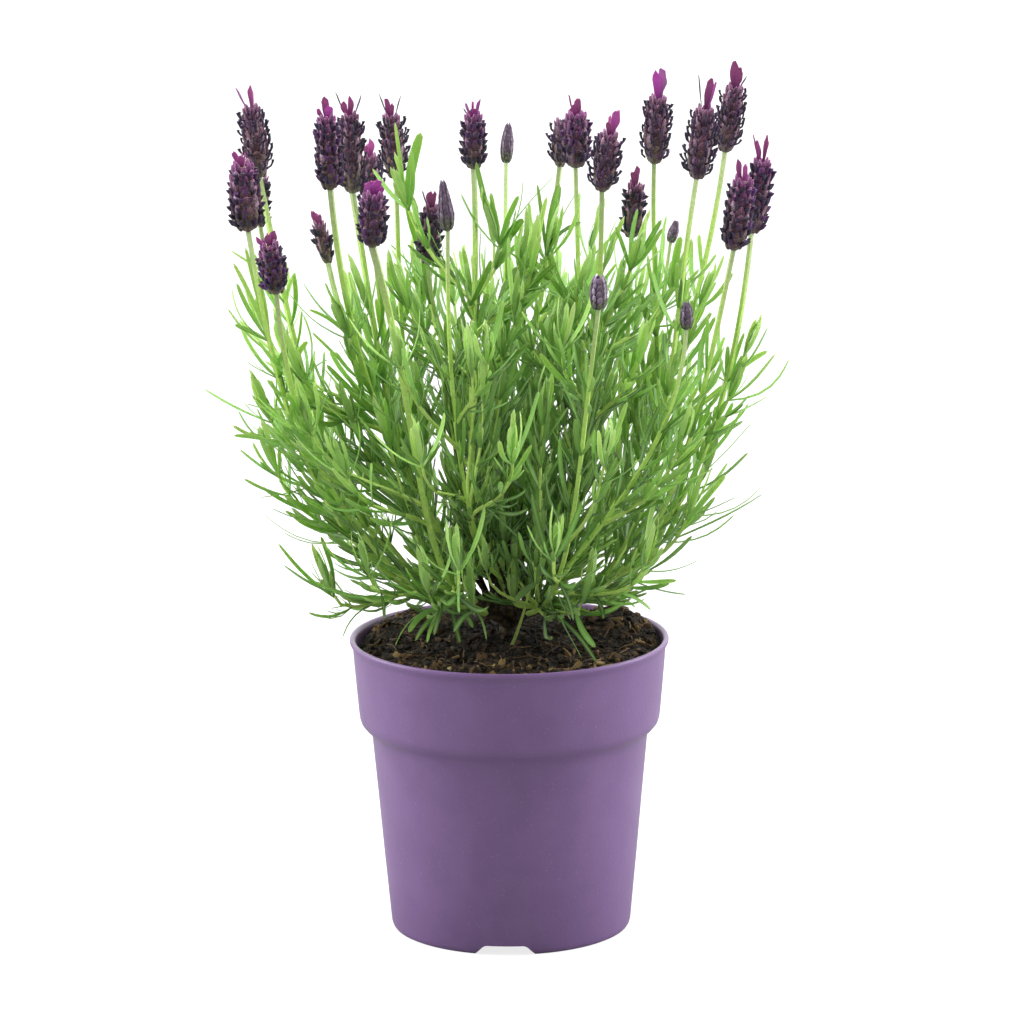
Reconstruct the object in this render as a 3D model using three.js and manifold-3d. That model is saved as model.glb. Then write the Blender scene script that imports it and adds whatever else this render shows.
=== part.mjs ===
// French lavender in a round nursery pot. Millimetres, +Z up, the pot's axis on Z and its foot on Z = 0.
// The front is -Y. The pot holds soil, the soil holds a woody crown, and each arm of the crown carries
// one leafy branch, whose bare stalks carry the flower heads and their tufts of coloured bracts.

import * as THREE from 'three';
import { mergeVertices } from 'three/addons/utils/BufferGeometryUtils.js';
import ManifoldModule from 'manifold-3d';

const wasm = await ManifoldModule();
wasm.setup();

// ---------------------------------------------------------------- driving dimensions

const GAP = 0.3;

const POT = {
  height: 121.5,
  lipRadius: 65.3,
  lipDepth: 2.0,
  collarTopRadius: 64.1,
  collarBottomRadius: 61.7,
  collarBottom: 89.6,
  roundingRadius: 60.55,
  roundingHeight: 85.4,
  stepRadius: 57.4,
  stepHeight: 83.4,
  stepInset: 0.3,
  bodyTopRadius: 56.4,
  bodyTop: 79.5,
  footRadius: 48.3,
  footBevel: 1.0,
  footBevelHeight: 1.4,
  footWidth: 3.0,
  wall: 1.4,
  floorUnderside: 5.0,
  floorThickness: 1.4,
  segments: 32,
};

// Both cutters run past the faces that they cut, by `overrun` and by the drain cutter's own length.
const NOTCH = {
  count: 3,
  azimuth: 267,
  bottomWidth: 24.5,
  topWidth: 17,
  height: 4,
  overrun: 2,
  innerRadius: 43,
  depth: 10,
};
const DRAIN = { count: 4, azimuth: 45, radius: 4.5, circleRadius: 30, sides: 6, cutterLength: 12 };

// The soil's top: it rises towards the back by `backRise` a millimetre, ripples and has three heaps.
const SOIL = {
  level: 118,
  rimDrop: 3.4,
  segments: 24,
  rings: [52, 38, 24, 11],
  backRise: 0.03,
  ripple: { height: 0.7, alongX: 0.31, alongY: 0.27, startX: 1.3, startY: 0.4 },
  heaps: [
    { x: 0, y: 0, radius: 40, height: 5 },
    { x: 44, y: 22, radius: 30, height: 8 },
    { x: -40, y: 26, radius: 30, height: 5.5 },
  ],
  holeTop: 151,
};
const TRUNK = { radius: 5, taper: 0.8, bottom: 92, top: 131, sides: 6 };
const LEADER = { radius: 3, taper: 0.7, bottom: 125, top: 141 };

// Every stem is a cubic curve. Its `pull` numbers say how far its two inner control points lie from its
// ends, as shares of its reach or its rise. A stalk carries no leaves over its top `bareLength`.
const ARM = { radius: 1.9, steps: 2, pull: 0.55 };
const STALK = { radius: 1.3, steps: 5, bareLength: 62, spread: 0.72, startRise: 0.08, endPull: 0.5 };
const SIDE_STALK = { radius: 1.15, steps: 4, split: 0.16, splitStep: 0.12, startPull: 0.3, endPull: 0.42 };
const SHOOT = {
  radius: 0.95,
  steps: 2,
  startPull: 0.35,
  endPull: 0.4,
  tipLean: 0.35,
  footShare: 0.6,
  footDrop: 34,
  firstStart: 0.05,
  firstSideStart: 0.2,
  lastStart: 0.7,
  startStep: 0.05,
  clearance: 0.6,
};
const DEPTH_LEAN = 0.002;
const BALL_STEP = 3;

// Leaf sizes in mm, its angles in degrees, and the turns and tilts that are tried to keep it clear.
const LEAF = {
  length: 24,
  lengthSpread: 9,
  halfWidth: 1.9,
  keel: 1.4,
  rootShare: 0.25,
  open: 38,
  openSpread: 16,
  curl: 22,
  curlSpread: 16,
  pairStep: 36,
  lowest: 14,
  tipGap: 2,
  clearance: 0.6,
  groundClearance: 1,
  rimClearance: 4,
  turns: [0, 12, -12, 90],
  tilts: [0, -10, 10],
};

// A spike of an open head and that of a bud; its core and caps, and how far its florets turn up.
const OPEN_SPIKE = { columns: 8, tiers: 5 };
const BUD_SPIKE = { columns: 6, tiers: 3, greatestRadius: 4 };
const SPIKE = { coreShare: 0.56, footRadius: 1.7, topRadius: 1.4, floretLift: 0.55 };
// Its half width at a share `t` of its height is least + swell sin(pi (start + rate t)).
const FULLNESS = { least: 0.74, swell: 0.26, start: 0.15, rate: 0.95 };

// A tuft's bracts: the radii and heights of their tips and of the clefts between them.
const TUFT = {
  bracts: 3,
  footRadius: 1.3,
  tip: { middleRadius: 2.7, middleHeight: 0.5, topRadius: 2.9, shortest: 0.8 },
  cleft: { middleRadius: 1.3, middleHeight: 0.2, topRadius: 0.8, topHeight: 0.4, centreHeight: 0.36 },
};
const HEAD_BALLS = { first: 1.5, step: 2.5, tuftStep: 2, tuftRadius: 4 };

// Half the width and the height of the triangle inscribed in a circle of radius 1.
const TRIANGLE_HALF_WIDTH = Math.sqrt(3) / 2;
const TRIANGLE_HEIGHT = 1.5;

// Each arm of the crown: the way it points, seen from above, and where its end lies.
const LOW_ARM = { radius: 15, height: 134, fork: 125 };
const HIGH_ARM = { radius: 9, height: 147, fork: 137 };

// One row a branch: its arm, and the flower heads that it carries, its leading stalk first.
const BRANCHES = [
  { arm: LOW_ARM, azimuth: 197, heads: [2, 4] },
  { arm: LOW_ARM, azimuth: 166, heads: [1, 3] },
  { arm: LOW_ARM, azimuth: 130, heads: [8, 7, 10] },
  { arm: LOW_ARM, azimuth: 50, heads: [24, 20, 23] },
  { arm: LOW_ARM, azimuth: 8, heads: [22, 18] },
  { arm: LOW_ARM, azimuth: -24, heads: [21, 19] },
  { arm: LOW_ARM, azimuth: -60, heads: [25, 26] },
  { arm: LOW_ARM, azimuth: 232, heads: [9] },
  { arm: HIGH_ARM, azimuth: 180, heads: [6, 5] },
  { arm: HIGH_ARM, azimuth: 262, heads: [12, 13] },
  { arm: HIGH_ARM, azimuth: 95, heads: [14, 16, 11] },
  { arm: HIGH_ARM, azimuth: -15, heads: [17, 15] },
];

// Flower heads 1 to 26: the foot of the spike, how far it and its stalk lean to the right for each
// millimetre that they rise, the spike's length and half width, and its tuft's length (0 on a bud).
const HEADS = [
  { foot: [-100, 18, 309], lean: -0.10, stalk: -0.19, length: 30, radius: 6.8, tuft: 9 },
  { foot: [-103, -22, 294], lean: -0.07, stalk: -0.14, length: 28, radius: 7.2, tuft: 9 },
  { foot: [-101, 44, 284], lean: 0.04, stalk: -0.14, length: 22, radius: 4.6, tuft: 0 },
  { foot: [-91, -48, 273], lean: -0.13, stalk: -0.07, length: 22, radius: 6.4, tuft: 7 },
  { foot: [-70, -20, 310], lean: -0.04, stalk: -0.08, length: 31, radius: 6.2, tuft: 10 },
  { foot: [-62, 8, 304], lean: -0.02, stalk: -0.15, length: 33, radius: 6.4, tuft: 10 },
  { foot: [-45, 38, 305], lean: -0.07, stalk: -0.02, length: 27, radius: 6.6, tuft: 9 },
  { foot: [-56, 62, 288], lean: 0.0, stalk: -0.08, length: 25, radius: 5.8, tuft: 9 },
  { foot: [-53, -45, 291], lean: 0.03, stalk: -0.27, length: 27, radius: 6.8, tuft: 9 },
  { foot: [-73, 32, 271], lean: -0.22, stalk: -0.20, length: 22, radius: 3.6, tuft: 7 },
  { foot: [-32, 12, 274], lean: 0.08, stalk: -0.05, length: 25, radius: 5.6, tuft: 8 },
  { foot: [-23, -55, 299], lean: -0.09, stalk: 0.02, length: 20, radius: 3.5, tuft: 0 },
  { foot: [-13, 5, 314], lean: 0.0, stalk: -0.04, length: 23, radius: 6.0, tuft: 8 },
  { foot: [0, 70, 306], lean: 0.07, stalk: 0.02, length: 17, radius: 2.6, tuft: 0 },
  { foot: [28, 0, 315], lean: 0.02, stalk: -0.02, length: 23, radius: 7.0, tuft: 8 },
  { foot: [22, 40, 309], lean: 0.04, stalk: 0.12, length: 20, radius: 4.4, tuft: 0 },
  { foot: [38, -35, 311], lean: 0.13, stalk: 0.01, length: 25, radius: 6.6, tuft: 9 },
  { foot: [60, 15, 314], lean: 0.06, stalk: 0.03, length: 28, radius: 6.6, tuft: 11 },
  { foot: [76, -18, 313], lean: 0.12, stalk: 0.16, length: 30, radius: 6.8, tuft: 11 },
  { foot: [89, 25, 317], lean: 0.15, stalk: 0.14, length: 28, radius: 6.4, tuft: 10 },
  { foot: [90, -40, 288], lean: 0.13, stalk: 0.20, length: 30, radius: 7.0, tuft: 9 },
  { foot: [99, 5, 287], lean: 0.16, stalk: 0.10, length: 31, radius: 6.2, tuft: 9 },
  { foot: [51, 30, 281], lean: 0.09, stalk: 0.04, length: 23, radius: 5.4, tuft: 8 },
  { foot: [68, 65, 273], lean: 0.28, stalk: 0.15, length: 9, radius: 2.3, tuft: 0 },
  { foot: [36, -70, 270], lean: 0.0, stalk: 0.13, length: 13, radius: 3.6, tuft: 0 },
  { foot: [71, -50, 258], lean: 0.0, stalk: 0.05, length: 11, radius: 2.7, tuft: 0 },
];

// The tips of the leafy side shoots, left and right, then front, back and middle.
const SHOOT_TIPS = [
  [-72, -12, 143], [-88, 2, 200], [-88, -8, 240], [-82, -24, 234], [-64, -20, 251], [-78, -42, 216],
  [-40, 0, 300], [-3, 0, 284], [16, -10, 281], [28, -20, 266], [50, -18, 278],
  [67, 0, 266], [78, 4, 258], [90, 0, 221], [78, 2, 184], [57, 0, 150],
  [-56, -52, 160], [-20, -72, 166], [18, -76, 172], [54, -58, 164], [72, -38, 180], [11, -42, 162],
  [-64, -58, 202], [-34, -76, 210], [2, -80, 212], [38, -76, 210], [68, -56, 212],
  [-42, -60, 246], [-8, -68, 250], [22, -66, 254], [52, -56, 248], [10, -36, 280],
  [-70, 42, 160], [-40, 68, 154], [2, 78, 158], [42, 70, 156], [68, 42, 166], [-32, -46, 150],
  [-78, 38, 202], [-46, 68, 200], [-6, 80, 206], [36, 76, 208], [70, 54, 204],
  [-60, 52, 242], [-22, 70, 248], [20, 72, 252], [54, 56, 248], [30, -46, 148],
  [-34, 38, 272], [34, 44, 272],
];

const COLOURS = {
  pot: 0x8a6aa2,
  soil: 0x33281e,
  crown: 0x5b4a34,
  leaf: 0x5f9440,
  spike: 0x3d2b40,
  bud: 0x6a5a60,
  tuft: 0xa04a9a,
};

// ---------------------------------------------------------------- solids and small helpers

const radians = THREE.MathUtils.degToRad;

function vector(x, y, z) {
  return new THREE.Vector3(x, y, z);
}

function compass(azimuth, radius, height) {
  return vector(radius * Math.cos(radians(azimuth)), radius * Math.sin(radians(azimuth)), height);
}

function seededRandom(seed) {
  let state = seed >>> 0;
  return () => {
    state = (Math.imul(state, 1664525) + 1013904223) >>> 0;
    return state / 4294967296;
  };
}

function weld(geometry) {
  geometry.deleteAttribute('normal');
  geometry.deleteAttribute('uv');
  return mergeVertices(geometry, 1e-4);
}

function toSolid(geometry) {
  const welded = weld(geometry);
  const triangles = [];
  const index = welded.index.array;
  for (let i = 0; i < index.length; i += 3) {
    const [a, b, c] = [index[i], index[i + 1], index[i + 2]];
    if (a !== b && b !== c && c !== a) triangles.push(a, b, c);
  }
  const mesh = new wasm.Mesh({
    numProp: 3,
    vertProperties: new Float32Array(welded.attributes.position.array),
    triVerts: new Uint32Array(triangles),
  });
  return new wasm.Manifold(mesh);
}

function toGeometry(solid) {
  const mesh = solid.getMesh();
  const geometry = new THREE.BufferGeometry();
  geometry.setAttribute('position', new THREE.BufferAttribute(mesh.vertProperties, 3));
  geometry.setIndex(new THREE.BufferAttribute(mesh.triVerts, 1));
  return geometry;
}

function fuse(geometries) {
  return geometries.map(toSolid).reduce((whole, piece) => whole.add(piece));
}

function squareSection(radius) {
  return new THREE.Shape([
    new THREE.Vector2(radius, 0),
    new THREE.Vector2(0, radius),
    new THREE.Vector2(-radius, 0),
    new THREE.Vector2(0, -radius),
  ]);
}

function tube(path, radius, steps) {
  const options = { extrudePath: path, steps, bevelEnabled: false };
  return new THREE.ExtrudeGeometry(squareSection(radius), options);
}

// Moves every vertex of a geometry by a rule.
function reshape(geometry, rule) {
  const position = geometry.attributes.position;
  const point = new THREE.Vector3();
  for (let i = 0; i < position.count; i += 1) {
    point.fromBufferAttribute(position, i);
    const moved = rule(point);
    position.setXYZ(i, moved.x, moved.y, moved.z);
  }
  return geometry;
}

// Turns a geometry that stands on the origin along +Z to stand on `foot` along `direction`.
function stand(geometry, foot, direction) {
  const turn = new THREE.Quaternion().setFromUnitVectors(vector(0, 0, 1), direction);
  return geometry.applyQuaternion(turn).translate(foot.x, foot.y, foot.z);
}

function standingPost({ radius, taper, bottom, top }) {
  return new THREE.CylinderGeometry(radius * taper, radius, top - bottom, TRUNK.sides)
    .rotateX(Math.PI / 2)
    .translate(0, 0, (bottom + top) / 2);
}

// ---------------------------------------------------------------- pot

function potInnerRadius(height) {
  const steps = potInnerWall();
  for (let i = 1; i < steps.length; i += 1) {
    const [upper, lower] = [steps[i - 1], steps[i]];
    if (height >= lower.y) {
      return THREE.MathUtils.mapLinear(height, lower.y, upper.y, lower.x, upper.x);
    }
  }
  return steps[steps.length - 1].x;
}

// The inside of the wall, from the rim down to the floor.
function potInnerWall() {
  const floorTop = POT.floorUnderside + POT.floorThickness;
  return [
    new THREE.Vector2(POT.collarTopRadius - POT.wall, POT.height),
    new THREE.Vector2(POT.collarBottomRadius - POT.wall, POT.collarBottom),
    new THREE.Vector2(POT.stepRadius - POT.stepInset, POT.stepHeight + POT.wall),
    new THREE.Vector2(POT.bodyTopRadius - POT.wall, POT.bodyTop),
    new THREE.Vector2(POT.footRadius + POT.footBevel - POT.wall, floorTop),
  ];
}

function potShell() {
  const outside = [
    new THREE.Vector2(0, POT.floorUnderside),
    new THREE.Vector2(POT.footRadius - POT.footWidth, POT.floorUnderside),
    new THREE.Vector2(POT.footRadius - POT.footWidth, 0),
    new THREE.Vector2(POT.footRadius, 0),
    new THREE.Vector2(POT.footRadius + POT.footBevel, POT.footBevelHeight),
    new THREE.Vector2(POT.bodyTopRadius, POT.bodyTop),
    new THREE.Vector2(POT.stepRadius, POT.stepHeight),
    new THREE.Vector2(POT.roundingRadius, POT.roundingHeight),
    new THREE.Vector2(POT.collarBottomRadius, POT.collarBottom),
    new THREE.Vector2(POT.collarTopRadius, POT.height - 2 * POT.lipDepth),
    new THREE.Vector2(POT.lipRadius, POT.height - POT.lipDepth),
    new THREE.Vector2(POT.lipRadius, POT.height),
  ];
  const floorCentre = new THREE.Vector2(0, POT.floorUnderside + POT.floorThickness);
  return new THREE.LatheGeometry([...outside, ...potInnerWall(), floorCentre], POT.segments);
}

// LatheGeometry turns about Y, so its solids are stood up on Z.
function upright(geometry) {
  return geometry.rotateX(Math.PI / 2);
}

function notchCutter(azimuth) {
  const outline = new THREE.Shape([
    new THREE.Vector2(-NOTCH.bottomWidth / 2 - NOTCH.overrun, -NOTCH.overrun),
    new THREE.Vector2(NOTCH.bottomWidth / 2 + NOTCH.overrun, -NOTCH.overrun),
    new THREE.Vector2(NOTCH.topWidth / 2, NOTCH.height),
    new THREE.Vector2(-NOTCH.topWidth / 2, NOTCH.height),
  ]);
  const cutter = new THREE.ExtrudeGeometry(outline, { depth: NOTCH.depth, steps: 1, bevelEnabled: false });
  return cutter
    .rotateX(Math.PI / 2)
    .translate(0, -NOTCH.innerRadius, 0)
    .rotateZ(radians(azimuth + 90));
}

function drainCutter(azimuth) {
  const centre = compass(azimuth, DRAIN.circleRadius, POT.floorUnderside);
  return new THREE.CylinderGeometry(DRAIN.radius, DRAIN.radius, DRAIN.cutterLength, DRAIN.sides)
    .rotateX(Math.PI / 2)
    .translate(centre.x, centre.y, centre.z);
}

function makePot() {
  let pot = toSolid(upright(potShell()));
  for (let i = 0; i < NOTCH.count; i += 1) {
    pot = pot.subtract(toSolid(notchCutter(NOTCH.azimuth + (360 / NOTCH.count) * i)));
  }
  for (let i = 0; i < DRAIN.count; i += 1) {
    pot = pot.subtract(toSolid(drainCutter(DRAIN.azimuth + (360 / DRAIN.count) * i)));
  }
  return toGeometry(pot);
}

// ---------------------------------------------------------------- soil

function heapHeight(heap, x, y) {
  const distance = Math.hypot(x - heap.x, y - heap.y) / heap.radius;
  return distance < 1 ? heap.height * (1 - distance * distance) ** 2 : 0;
}

// The soil lies low in front, is heaped about the crown and is highest at the back right.
function soilHeight(x, y) {
  const { height, alongX, alongY, startX, startY } = SOIL.ripple;
  const ripple = height * Math.sin(x * alongX + startX) * Math.sin(y * alongY + startY);
  const heaps = SOIL.heaps.reduce((sum, heap) => sum + heapHeight(heap, x, y), 0);
  return SOIL.level + SOIL.backRise * y + ripple + heaps;
}

function makeSoil() {
  const fit = Math.cos(Math.PI / POT.segments);
  const floorTop = POT.floorUnderside + POT.floorThickness + GAP;
  const edgeTop = POT.height - POT.rimDrop;
  const wallHeights = [floorTop, POT.bodyTop, POT.stepHeight + POT.wall, POT.collarBottom];
  const side = wallHeights.map((height) => new THREE.Vector2(potInnerRadius(height) * fit - GAP, height));
  const edge = new THREE.Vector2(potInnerRadius(SOIL.level - SOIL.rimDrop) * fit - GAP, SOIL.level);
  const top = SOIL.rings.map((radius) => new THREE.Vector2(radius, SOIL.level + 1));
  const [bottomCentre, topCentre] = [new THREE.Vector2(0, floorTop), new THREE.Vector2(0, SOIL.level + 1)];
  const profile = [bottomCentre, ...side, edge, ...top, topCentre];
  const soil = reshape(upright(new THREE.LatheGeometry(profile, SOIL.segments)), (point) => {
    if (point.z < SOIL.level - 0.5) return point;
    const radius = Math.hypot(point.x, point.y);
    const drop = radius > SOIL.rings[0] + 1 ? SOIL.rimDrop : 0;
    return vector(point.x, point.y, soilHeight(point.x, point.y) - drop);
  });
  const hole = { radius: TRUNK.radius + GAP, taper: 1, bottom: TRUNK.bottom - GAP, top: SOIL.holeTop };
  return toGeometry(toSolid(soil).subtract(toSolid(standingPost(hole))));
}

// ---------------------------------------------------------------- stems

function leaning(lean, depth) {
  return vector(lean, DEPTH_LEAN * depth, 1).normalize();
}

function headFoot(head) {
  return vector(...head.foot);
}

function headAxis(head) {
  return leaning(head.lean, head.foot[1]);
}

// A stem bends in one upright plane for the most part, so its four faces keep to that plane: one pair
// of corners lies level across it and the other pair in it.
class Stem extends THREE.Curve {
  constructor(curve, { owner, radius, steps, head = null, startGap = 0, endGap = 0 }) {
    super();
    Object.assign(this, { curve, owner, radius, steps, head });
    this.length = curve.getLength();
    this.from = startGap / this.length;
    this.to = 1 - endGap / this.length;
    const across = curve.getPoint(1).sub(curve.getPoint(0)).cross(vector(0, 0, 1));
    this.level = across.length() > 1 ? across.normalize() : vector(1, 0, 0);
  }

  getPoint(t, target = new THREE.Vector3()) {
    return this.curve.getPointAt(this.from + (this.to - this.from) * t, target);
  }

  facing(tangent) {
    const normal = this.level.clone().addScaledVector(tangent, -this.level.dot(tangent)).normalize();
    return { tangent, normal, binormal: tangent.clone().cross(normal) };
  }

  // The stem is built of straight stretches, so what stands on it takes its place from those.
  onStretch(t) {
    const stretch = Math.min(Math.floor(t * this.steps), this.steps - 1);
    const lower = this.getPoint(stretch / this.steps);
    const upper = this.getPoint((stretch + 1) / this.steps);
    const point = lower.clone().lerp(upper, t * this.steps - stretch);
    return { point, ...this.facing(upper.sub(lower).normalize()) };
  }

  computeFrenetFrames(segments) {
    const frames = Array.from({ length: segments + 1 }, (_, i) => {
      const along = this.from + ((this.to - this.from) * i) / segments;
      return this.facing(this.curve.getTangentAt(along));
    });
    return {
      tangents: frames.map((frame) => frame.tangent),
      normals: frames.map((frame) => frame.normal),
      binormals: frames.map((frame) => frame.binormal),
    };
  }

  balls() {
    const count = Math.max(2, Math.ceil(this.length / BALL_STEP));
    return Array.from({ length: count + 1 }, (_, i) => ({
      point: this.onStretch(i / count).point,
      radius: this.radius,
    }));
  }
}

// The leading stalk of a branch leaves its arm nearly level, then bends up to its flower head.
function leadingStalk(branch) {
  const head = HEADS[branch.heads[0] - 1];
  const start = compass(branch.azimuth, branch.arm.radius, branch.arm.height);
  const foot = headFoot(head);
  const rise = foot.z - start.z;
  const { spread, startRise, endPull } = STALK;
  const outward = vector(foot.x * spread, foot.y * spread, start.z + startRise * rise);
  const below = foot.clone().addScaledVector(leaning(head.stalk, head.foot[1]), -endPull * rise);
  return new THREE.CubicBezierCurve3(start, outward, below, foot);
}

function sideStalk(leader, head, split) {
  const { point: start, tangent } = leader.onStretch(split);
  const foot = headFoot(head);
  const reach = start.distanceTo(foot);
  const heading = foot.clone().sub(start).normalize().add(tangent).normalize();
  const along = start.clone().addScaledVector(heading, SIDE_STALK.startPull * reach);
  const arrival = leaning(head.stalk, head.foot[1]);
  const below = foot.clone().addScaledVector(arrival, -SIDE_STALK.endPull * reach);
  return new THREE.CubicBezierCurve3(start, along, below, foot);
}

// A side shoot leaves its stalk outward and bends up towards its tip.
function shootCurve(start, tip) {
  const reach = start.point.distanceTo(tip);
  const outward = vector(tip.x, tip.y, 0).normalize();
  const heading = start.tangent.clone().add(outward).normalize();
  const arrival = vector(0, 0, 1).addScaledVector(outward, SHOOT.tipLean).normalize();
  const along = start.point.clone().addScaledVector(heading, SHOOT.startPull * reach);
  const below = tip.clone().addScaledVector(arrival, -SHOOT.endPull * reach);
  return new THREE.CubicBezierCurve3(start.point, along, below, tip);
}

// What is already placed is kept as small balls, each with its branch, so that later pieces stay clear.
const placed = [];

function keep(balls, owner, piece = null) {
  for (const ball of balls) placed.push({ ...ball, owner, piece });
}

function isClear(balls, margin, ignored) {
  return balls.every((ball) => placed.every((other) => ignored(other)
    || ball.point.distanceTo(other.point) > ball.radius + other.radius + margin));
}

function growStalks() {
  return BRANCHES.map((branch, owner) => {
    const [leadingHead, ...sideHeads] = branch.heads.map((number) => HEADS[number - 1]);
    const ends = { startGap: GAP, endGap: GAP };
    const leader = new Stem(leadingStalk(branch), { ...STALK, ...ends, owner, head: leadingHead });
    const stems = [leader];
    sideHeads.forEach((head, i) => {
      const stalk = sideStalk(leader, head, SIDE_STALK.split + SIDE_STALK.splitStep * i);
      stems.push(new Stem(stalk, { ...SIDE_STALK, owner, head, endGap: GAP }));
    });
    stems.forEach((stem) => keep(stem.balls(), owner, stem));
    return stems;
  });
}

// Every place where a side shoot can start: points along the lower part of each branch's stalks.
function shootStarts(branches) {
  const starts = [];
  for (const stems of branches) {
    stems.forEach((stem, i) => {
      const first = i === 0 ? SHOOT.firstStart : SHOOT.firstSideStart;
      for (let t = first; t < SHOOT.lastStart; t += SHOOT.startStep) {
        starts.push({ owner: stem.owner, ...stem.onStretch(t) });
      }
    });
  }
  return starts;
}

// Each side shoot starts from the stalk nearest to its foot that it can reach clear of other branches.
function growShoots(branches) {
  const starts = shootStarts(branches);
  for (const place of SHOOT_TIPS) {
    const tip = vector(...place);
    const foot = vector(tip.x * SHOOT.footShare, tip.y * SHOOT.footShare, tip.z - SHOOT.footDrop);
    starts.sort((a, b) => a.point.distanceTo(foot) - b.point.distanceTo(foot));
    for (const start of starts) {
      const shoot = new Stem(shootCurve(start, tip), { ...SHOOT, owner: start.owner });
      if (isClear(shoot.balls(), SHOOT.clearance, (other) => other.owner === start.owner)) {
        branches[start.owner].push(shoot);
        keep(shoot.balls(), start.owner, shoot);
        break;
      }
    }
  }
}

// ---------------------------------------------------------------- leaves

function leafAt(stem, distance, turn, tilt, random) {
  const at = THREE.MathUtils.clamp(distance / stem.length, 0, 1);
  const { point, tangent, normal, binormal } = stem.onStretch(at);
  const out = normal.multiplyScalar(Math.cos(turn)).addScaledVector(binormal, Math.sin(turn));
  const open = radians(LEAF.open + LEAF.openSpread * random() + tilt);
  const curl = radians(LEAF.curl + LEAF.curlSpread * random());
  const size = LEAF.length + LEAF.lengthSpread * random();
  return { root: point, axis: tangent, out, open, curl, size };
}

// A point on a leaf's midrib, from its root at 0 to its tip at 1. It bends half way along.
function leafPoint(leaf, t) {
  const early = Math.min(t, 0.5) * leaf.size;
  const late = Math.max(t - 0.5, 0) * leaf.size;
  return leaf.root.clone()
    .addScaledVector(leaf.axis, early * Math.cos(leaf.open) + late * Math.cos(leaf.open - leaf.curl))
    .addScaledVector(leaf.out, early * Math.sin(leaf.open) + late * Math.sin(leaf.open - leaf.curl));
}

// A blade is a three-sided cone with one step: flat above, keeled below, widest half way along.
function bladeGeometry(leaf, { halfWidth, keel, rootShare }) {
  const across = leaf.axis.clone().cross(leaf.out).normalize();
  const up = leaf.axis.clone().multiplyScalar(Math.sin(leaf.open));
  up.addScaledVector(leaf.out, -Math.cos(leaf.open));
  return reshape(new THREE.ConeGeometry(1, 1, 3, 2), (point) => {
    const t = point.y + 0.5;
    const centre = leafPoint(leaf, t);
    const radius = Math.hypot(point.x, point.z);
    if (radius < 1e-6) return centre;
    const share = t < 0.25 ? rootShare : 1;
    return centre
      .addScaledVector(across, (share * halfWidth * point.x) / (radius * TRIANGLE_HALF_WIDTH))
      .addScaledVector(up, (-share * keel * point.z) / (radius * TRIANGLE_HEIGHT));
  });
}

function leafBalls(leaf) {
  return [0.12, 0.25, 0.38, 0.5, 0.62, 0.75, 0.88, 1].map((t) => ({
    point: leafPoint(leaf, t),
    radius: LEAF.halfWidth * Math.max(0.25, 1 - Math.abs(2 * t - 1)),
  }));
}

function clearOfPot({ point, radius }) {
  const fromAxis = Math.hypot(point.x, point.y);
  if (fromAxis > POT.lipRadius + LEAF.rimClearance) return point.z > POT.collarBottom;
  const ground = fromAxis > SOIL.rings[0] ? POT.height : soilHeight(point.x, point.y);
  return point.z > ground + radius + LEAF.groundClearance;
}

// A leaf keeps clear of the soil, the rim, other branches and, where it can, its own branch. One that
// would touch is turned about its stem or opened further or less, or else left out.
function placeLeaf(stem, distance, turn, seed, partner) {
  const tries = LEAF.turns.flatMap((turned) => LEAF.tilts.map((tilt) => [turned, tilt]));
  const ownStem = (other) => other.piece === stem || (partner !== null && other.piece === partner);
  for (const [turned, tilt] of tries) {
    const leaf = leafAt(stem, distance, turn + radians(turned), tilt, seededRandom(seed));
    const balls = leafBalls(leaf);
    if (balls.every(clearOfPot) && isClear(balls, LEAF.clearance, ownStem)) {
      keep(balls, stem.owner, leaf);
      return leaf;
    }
  }
  return null;
}

// Leaves stand in pairs, each pair a quarter turn from the next, from the tip of the leafy part down.
function leavesOn(stem, stemNumber) {
  const leaves = [];
  const leafyEnd = stem.length - (stem.head ? STALK.bareLength : LEAF.tipGap);
  for (let pair = 0, distance = leafyEnd; distance > LEAF.lowest; pair += 1, distance -= LEAF.pairStep) {
    const turn = radians(45 + 90 * pair);
    const seed = 1000 * stemNumber + 10 * pair;
    const first = placeLeaf(stem, distance, turn, seed + 1, null);
    const second = placeLeaf(stem, distance, turn + Math.PI, seed + 2, first);
    leaves.push(first, second);
  }
  return leaves.filter((leaf) => leaf !== null);
}

// ---------------------------------------------------------------- crown and branches

function armGeometry(branch, leader) {
  const end = leader.curve.getPoint(0);
  const fork = vector(0, 0, branch.arm.fork);
  const bend = end.clone().addScaledVector(leader.curve.getTangent(0), -ARM.pull * end.distanceTo(fork));
  const arm = new Stem(new THREE.QuadraticBezierCurve3(fork, bend, end), ARM);
  return tube(arm, ARM.radius, ARM.steps);
}

function makeCrown(branches) {
  const arms = BRANCHES.map((branch, i) => armGeometry(branch, branches[i][0]));
  return toGeometry(fuse([standingPost(TRUNK), standingPost(LEADER), ...arms]));
}

function makeBranch(stems, leaves) {
  const tubes = stems.map((stem) => tube(stem, stem.radius, stem.steps));
  const blades = leaves.map((leaf) => bladeGeometry(leaf, LEAF));
  return toGeometry(fuse([...tubes, ...blades]));
}

// ---------------------------------------------------------------- flower heads

// The spike's half width at a height from 0 to 1: rounded foot, full below the middle, narrower top.
function spikeFullness(t) {
  const { least, swell, start, rate } = FULLNESS;
  return least + swell * Math.sin(Math.PI * Math.min(1, start + rate * t));
}

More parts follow.
